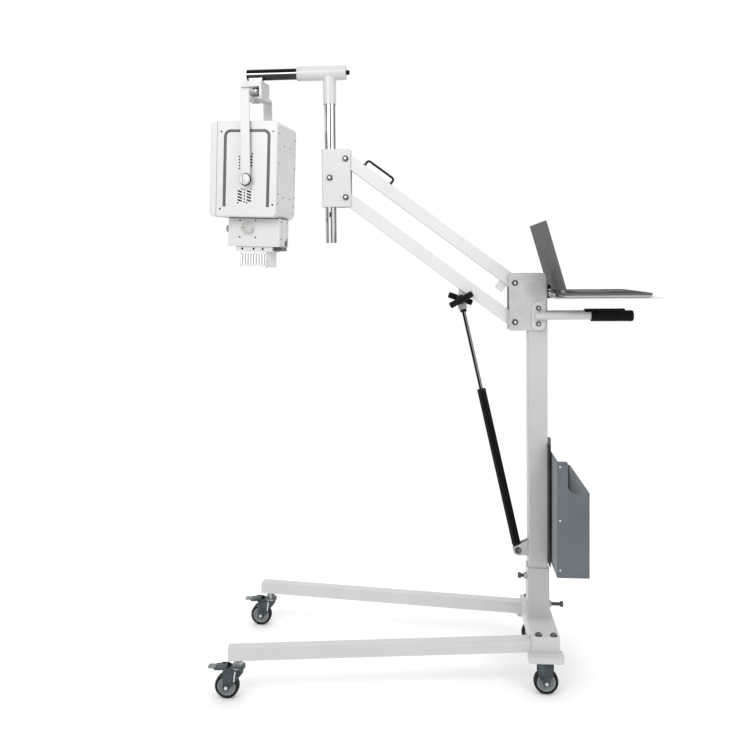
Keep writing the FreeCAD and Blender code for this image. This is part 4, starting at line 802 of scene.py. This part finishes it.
for side, hand in sides:
    lathe(mesh, [(0, 0), (3.6, 0), (3.8, 0.4), (3.8, 23.6), (3.6, 24), (0, 24)], (64, side * 80, 1228), (0, side, 0),
          24)
piece("hingeCovers", mesh, stand, "laptop_lid", blackPlastic)
print("laptop done")

# Bin: folded hems, rivets, a pale lining painted with light inside it, and pale sheets at its back painted with light
# reflected from the column
binSize = {"back": 38, "front": 132.4, "half": 169.2, "low": 361.6, "lip": 619.7, "top": 715.6, "tab": 68.6,
           "rivets": (384, 536, 700), "inner": 168}
mesh = bmesh.new()
rod(mesh, [(binSize["front"], side * binSize["half"], binSize["lip"]) for side, hand in sides], 1.5, 12)
rod(mesh, [(binSize["back"], side * binSize["half"], binSize["top"]) for side, hand in sides], 1.4, 12)
for side, hand in sides:
    edge = [(binSize["front"], binSize["lip"]), (binSize["tab"] + 12.4, binSize["lip"]), (binSize["tab"], 636),
            (binSize["tab"], binSize["top"] - 4.6), (binSize["tab"] - 4.6, binSize["top"]),
            (binSize["back"], binSize["top"])]
    rod(mesh, [(x, side * binSize["half"], z) for x, z in edge], 1.0, 10)
    rod(mesh, [(binSize["front"], side * binSize["half"], z) for z in (binSize["low"], binSize["lip"])], 1.1, 8)
piece("binHems", mesh, stand, "stand", binPaint)
mesh = bmesh.new()
for side, hand in sides:
    for z in binSize["rivets"]:
        lathe(mesh, [(3.2, 0), (3.0, 0.9), (2.2, 1.5), (0, 1.7)], (46, side * 169.9, z), (0, side, 0), 20)
piece("binRivets", mesh, stand, "stand", tankMetal)

# pale lining sheets inside the bin: painted light where the bin's inside is in shade
mesh = bmesh.new()
for x, top in ((131, 619), (39, 714)):
    block(mesh, (x, -binSize["inner"], 366), (x + 0.4, binSize["inner"], top), 0.1, 1)
piece("binPaintedLightLining", mesh, stand, "stand", binInnerPaintedLight)
# pale sheets beside the back flanges: painted light reflected from the white column
mesh = bmesh.new()
for side, hand in sides:
    low, high = sorted((side * binSize["inner"], side * 67))
    block(mesh, (36.5, low, 363), (36.9, high, 713), 0.1, 1)
piece("binFlangeLightSheets", mesh, stand, "stand", binFlangePaintedLight)

# Column: plastic top cap, and weld beads all over the stand
mesh = bmesh.new()
block(mesh, (-28, -28, 1274.6), (28, 28, 1278), 1.4, 3)
piece("columnCap", mesh, stand, "stand", blackPlastic)


def bead(mesh, outline, height, radius):
    # a rippled weld bead along a closed outline
    dense = []
    for (ax, ay), (bx, by) in zip(outline, outline[1:] + outline[:1]):
        count = max(1, int(math.hypot(bx - ax, by - ay) / 1.6))
        dense += [(ax + (bx - ax) * i / count, ay + (by - ay) * i / count) for i in range(count)]
    points = [Vector((x, y, height + 0.35 * math.sin(i * 2.1))) for i, (x, y) in enumerate(dense)]
    rod(mesh, points, radius, 8, loop=True)


welds = (("socketWeld", stand, "stand", rounded(-34.4, -34.4, 34.4, 34.4, 4, 4), 171.6, 2.0),
         ("stopWeld", upperArm, "upper_arm", rounded(-40.4, -13.4, -13.6, 13.4, 1, 2), -20.3, 1.6),
         ("tabWeld", lowerArm, "lower_arm", rounded(-204.4, -4.4, -153.6, 4.4, 1, 2), -20.3, 1.5))
for name, place, body, outline, height, radius in welds:
    mesh = bmesh.new()
    bead(mesh, outline, height, radius)
    piece(name, mesh, place, body, weldPaint, smooth=60)
mesh = bmesh.new()
for side, hand in sides:
    for z in (128, 151):
        rod(mesh, [(legs["x"] - 0.4, side * legs["y"] + dy, z) for dy in range(-18, 19, 2)], 1.4, 8)
piece("legWelds", mesh, stand, "stand", weldPaint, smooth=60)

# Spring: gland ring, end cap, the rod's collar and the release head's cheeks
mesh = bmesh.new()
lathe(mesh, [(6.3, 528), (13, 528), (14.4, 529), (14.4, 533), (12.8, 535.5), (8, 537), (6.3, 537)],
      steps=48, ring=True)
lathe(mesh, [(8.3, 12), (11, 13), (14.3, 19), (14.3, 24), (13.9, 24.5), (8.3, 24.5)], steps=48, ring=True)
piece("springRings", mesh, spring, "spring_cylinder", blackPlastic)
mesh = bmesh.new()
lathe(mesh, [(6.1, 791.5), (9.6, 791.5), (10.4, 792.5), (10.4, 801), (9.8, 801.8), (6.1, 801.8)], steps=40, ring=True)
piece("rodCollar", mesh, spring, "spring_rod", blackPlastic)
mesh = bmesh.new()
plates(mesh, rounded(-13.6, 801.8, 13.6, 822, 4), 13.1, 13.6)
piece("releaseCheeks", mesh, spring, "spring_rod", greyPlastic, edge=0.2)

# Tee and mast: end rings and weld
mesh = bmesh.new()
lathe(mesh, [(18.2, 0), (22.8, 0), (23.6, 0.8), (23.6, 3), (18.2, 3)], (mast["teeFront"], 0, mast["boom"]), (1, 0, 0),
      64, ring=True)
lathe(mesh, [(7.6, 0), (22.6, 0), (23.6, 1), (23.6, 3), (7.6, 3)], (mast["teeRear"], 0, mast["boom"]), (-1, 0, 0),
      64, ring=True)
lathe(mesh, [(18.2, 0), (20.9, 0), (21.7, 0.8), (21.7, 3), (18.2, 3)], (mast["x"], 0, mast["teeLow"]), (0, 0, 1),
      64, ring=True)
piece("teeRims", mesh, stand, "tee", clampShadedPaint)
mesh = bmesh.new()
saddle, stem, sleeve = [], 21.5, 23.5
for step in range(72):
    turn = 2 * math.pi * step / 72
    x, y = stem * math.cos(turn), stem * math.sin(turn)
    saddle.append((mast["x"] + x, y, mast["boom"] - math.sqrt(sleeve ** 2 - y * y) - 0.3))
rod(mesh, saddle, 1.7, 8, loop=True)
piece("teeWeld", mesh, stand, "tee", weldPaint, smooth=60)

# Castors: tyres, hub faces, raceways, forks, brake pedals and axle nuts
wheel = {"spokes": 5, "face": 13.9}


def wheelDetail(mesh, side):
    lathe(mesh, [(4.2, 0), (8.6, 0), (9.2, -0.6), (9.2, -5), (12, -6.6), (21.5, -7), (22.8, -3.6), (27.6, -3.2),
                 (28.4, -4), (28.4, -12), (4.2, -12)], (0, side * wheel["face"], 0), (0, side, 0), 48, ring=True)
    for step in range(wheel["spokes"]):
        place = shift(0, side * 6.6, 0) @ spin("Y", 360 * step / wheel["spokes"])
        block(mesh, (9, -1.2, -1.7), (22.6, 1.2, 1.7), 0.5, 1, place)


def wheelPieces(name, body, place):
    mesh = bmesh.new()
    for side, hand in sides:
        wheelDetail(mesh, side)
    piece(name + "Face", mesh, place, body, hubPlastic)
    mesh = bmesh.new()
    outline = [(28.6, -11.2), (33.4, -12.1), (36.2, -10), (37.2, -6.5), (37.45, -3.4), (37.0, -3), (37.0, -2.4),
               (37.48, -2), (37.48, 2), (37.0, 2.4), (37.0, 3), (37.45, 3.4), (37.2, 6.5), (36.2, 10),
               (33.4, 12.1), (28.6, 11.2)]
    lathe(mesh, outline, (0, 0, 0), (0, 1, 0), 96, ring=True)
    piece(name + "Tyre", mesh, place, body, tyreRubber, hides=(body + "_tyre",), smooth=50)


def forkCheeks(mesh, ahead, behind, axleX, y):
    # pressed cheeks on both sides of a fork, round below the axle
    turns = [math.radians(a) for a in range(190, 351, 20)]
    under = [(axleX + 10 * math.cos(a), axle["z"] + 10 * math.sin(a)) for a in turns]
    plates(mesh, ahead + under + behind, 16.6, 17.3, y)


for side, hand in sides:
    castor, rearY = castorPlace(side), side * axle["track"]
    wheelPieces("frontWheel_" + hand, "front_wheel_" + hand, castor @ shift(axle["front"], 0, axle["z"]))
    wheelPieces("rearWheel_" + hand, "rear_wheel_" + hand, stand @ shift(axle["rear"], rearY, axle["z"]))
    mesh = bmesh.new()
    lathe(mesh, [(14, 99.2), (20.6, 99.4), (21.4, 98.2), (21.6, 95.6), (20.8, 94), (14, 94)], steps=56, ring=True)
    lathe(mesh, [(8, 101.1), (17, 101.1), (17.4, 101.6), (16.6, 103.4), (13.4, 104.6), (8, 104.6)], steps=56,
          ring=True)
    hexHead(mesh, (0, 0, 104.8), (0, 0, 1), 17, 5)
    piece("raceway_" + hand, mesh, castor, "castor_" + hand, brightZinc)
    mesh = bmesh.new()
    slab(mesh, [(-50, 78), (-46, 76.4), (-14, 76.4), (-12, 90.4), (-38, 90.4), (-46, 86)], -14.6, 14.6)
    forkCheeks(mesh, [(-44, 86), (-55, 79), (-56, 76), (-45, 64)], [(-20, 52), (7, 84), (5, 90)],
               axle["front"], 0)
    piece("forkCrown_" + hand, mesh, castor, "castor_" + hand, forkSteel, edge=0.3)
    mesh = bmesh.new()
    # a thin bright strip on each cheek: a pressed rib, bright as its painted highlight
    plates(mesh, [(-13.5, 55), (-9.5, 56), (-5, 88), (-9.5, 88)], 17.2, 18.2)
    piece("forkRibHighlight_" + hand, mesh, castor, "castor_" + hand, tankMetal, edge=0.4)
    mesh = bmesh.new()
    forkCheeks(mesh, [(-21, 96), (-21, 62)], [(23, 60), (24, 96)], axle["rear"], rearY)
    piece("rearForkCheeks_" + hand, mesh, stand, "stand", forkSteel, edge=0.3)
    mesh = bmesh.new()
    slab(mesh, rounded(-94, -13, -70, 13, 5), 93, 95.4, axis=2)
    for step in range(4):
        block(mesh, (-90.5 + step * 5.2, -10, 95.2), (-88.3 + step * 5.2, 10, 96.2), 0.4, 1)
    piece("pedalPad_" + hand, mesh, castor, "pedal_" + hand, hubPlastic,
          hides=("brake_pedal_" + hand,), edge=0.5)
    mesh = bmesh.new()
    neck = [(-72, 94.6), (-62, 94.6), (-52, 99), (-34, 99), (-26, 95), (-18, 88), (-18, 80), (-27, 78), (-33, 84),
            (-42, 91.4), (-52, 91.4), (-62, 90.6), (-72, 91.4)]
    plates(mesh, neck, 17.4, 19.2)
    slab(mesh, [(-74, 92.2), (-60, 92.2), (-52, 95.4), (-36, 95.4), (-36, 97.4), (-53, 97.4), (-61, 94.2),
                (-74, 94.2)], -17.6, 17.6)
    piece("pedalLever_" + hand, mesh, castor, "pedal_" + hand, forkSteel, edge=0.5)
    for end, place, body, y in (("front", castor, "castor_" + hand, 0), ("rear", stand, "stand", rearY)):
        mesh = bmesh.new()
        for face in (-1, 1):
            hexHead(mesh, (axle[end], y + face * 17.6, axle["z"]), (0, face, 0), 10, 3.6, 6.4)
        piece(end + "AxleNuts_" + hand, mesh, place, body, tankMetal)
print("castors done")

# Stage, light and camera
mesh = bmesh.new()
bmesh.ops.create_grid(mesh, x_segments=1, y_segments=1, size=30)
floor, data = show("floor", mesh)
floor.location = (0, 0, -0.0005)
paper = surface("floorPaper", tone(1.0), tone(0.995), (0.9, 1.0), patches=0.6, bumps=(40, 0.0, 0.0008))
data.materials.append(paper)

world = bpy.data.worlds.new("studio")
bpy.context.scene.world = world
world.use_nodes = True
fill(world.node_tree.nodes["Background"], Color=(1, 1, 1, 1), Strength=1.01)


def areaLight(name, spot, aim, size, power, cone):
    light = bpy.data.lights.new(name, "AREA")
    light.size = size
    light.energy = power
    light.spread = math.radians(cone)
    lamp = bpy.data.objects.new(name, light)
    lamp.location = spot
    lamp.rotation_euler = (Vector(aim) - Vector(spot)).to_track_quat("-Z", "Y").to_euler()
    bpy.context.collection.objects.link(lamp)


areaLight("keySoftbox", (-1.0, -1.8, 2.4), (-0.3, 0, 1.5), 1.0, 5.5, 90)
areaLight("fillSoftbox", (1.3, -1.3, 2.1), (0.3, 0, 1.25), 0.8, 3.0, 80)
areaLight("topSoftbox", (0.2, 0.1, 3.9), (0, 0, 1.0), 1.8, 6, 180)

cameraData = bpy.data.cameras.new("photoCamera")
cameraData.sensor_width = 36
cameraData.lens = 38.8
cameraData.shift_y = -0.1
camera = bpy.data.objects.new("photoCamera", cameraData)
camera.matrix_world = shift(0.0117, -2.5604, 1.316) @ spin("Z", 4.773) @ spin("X", 90 - 2.011) @ spin("Z", -0.562)
bpy.context.collection.objects.link(camera)
bpy.context.scene.camera = camera
bpy.context.scene.view_settings.view_transform = "Standard"
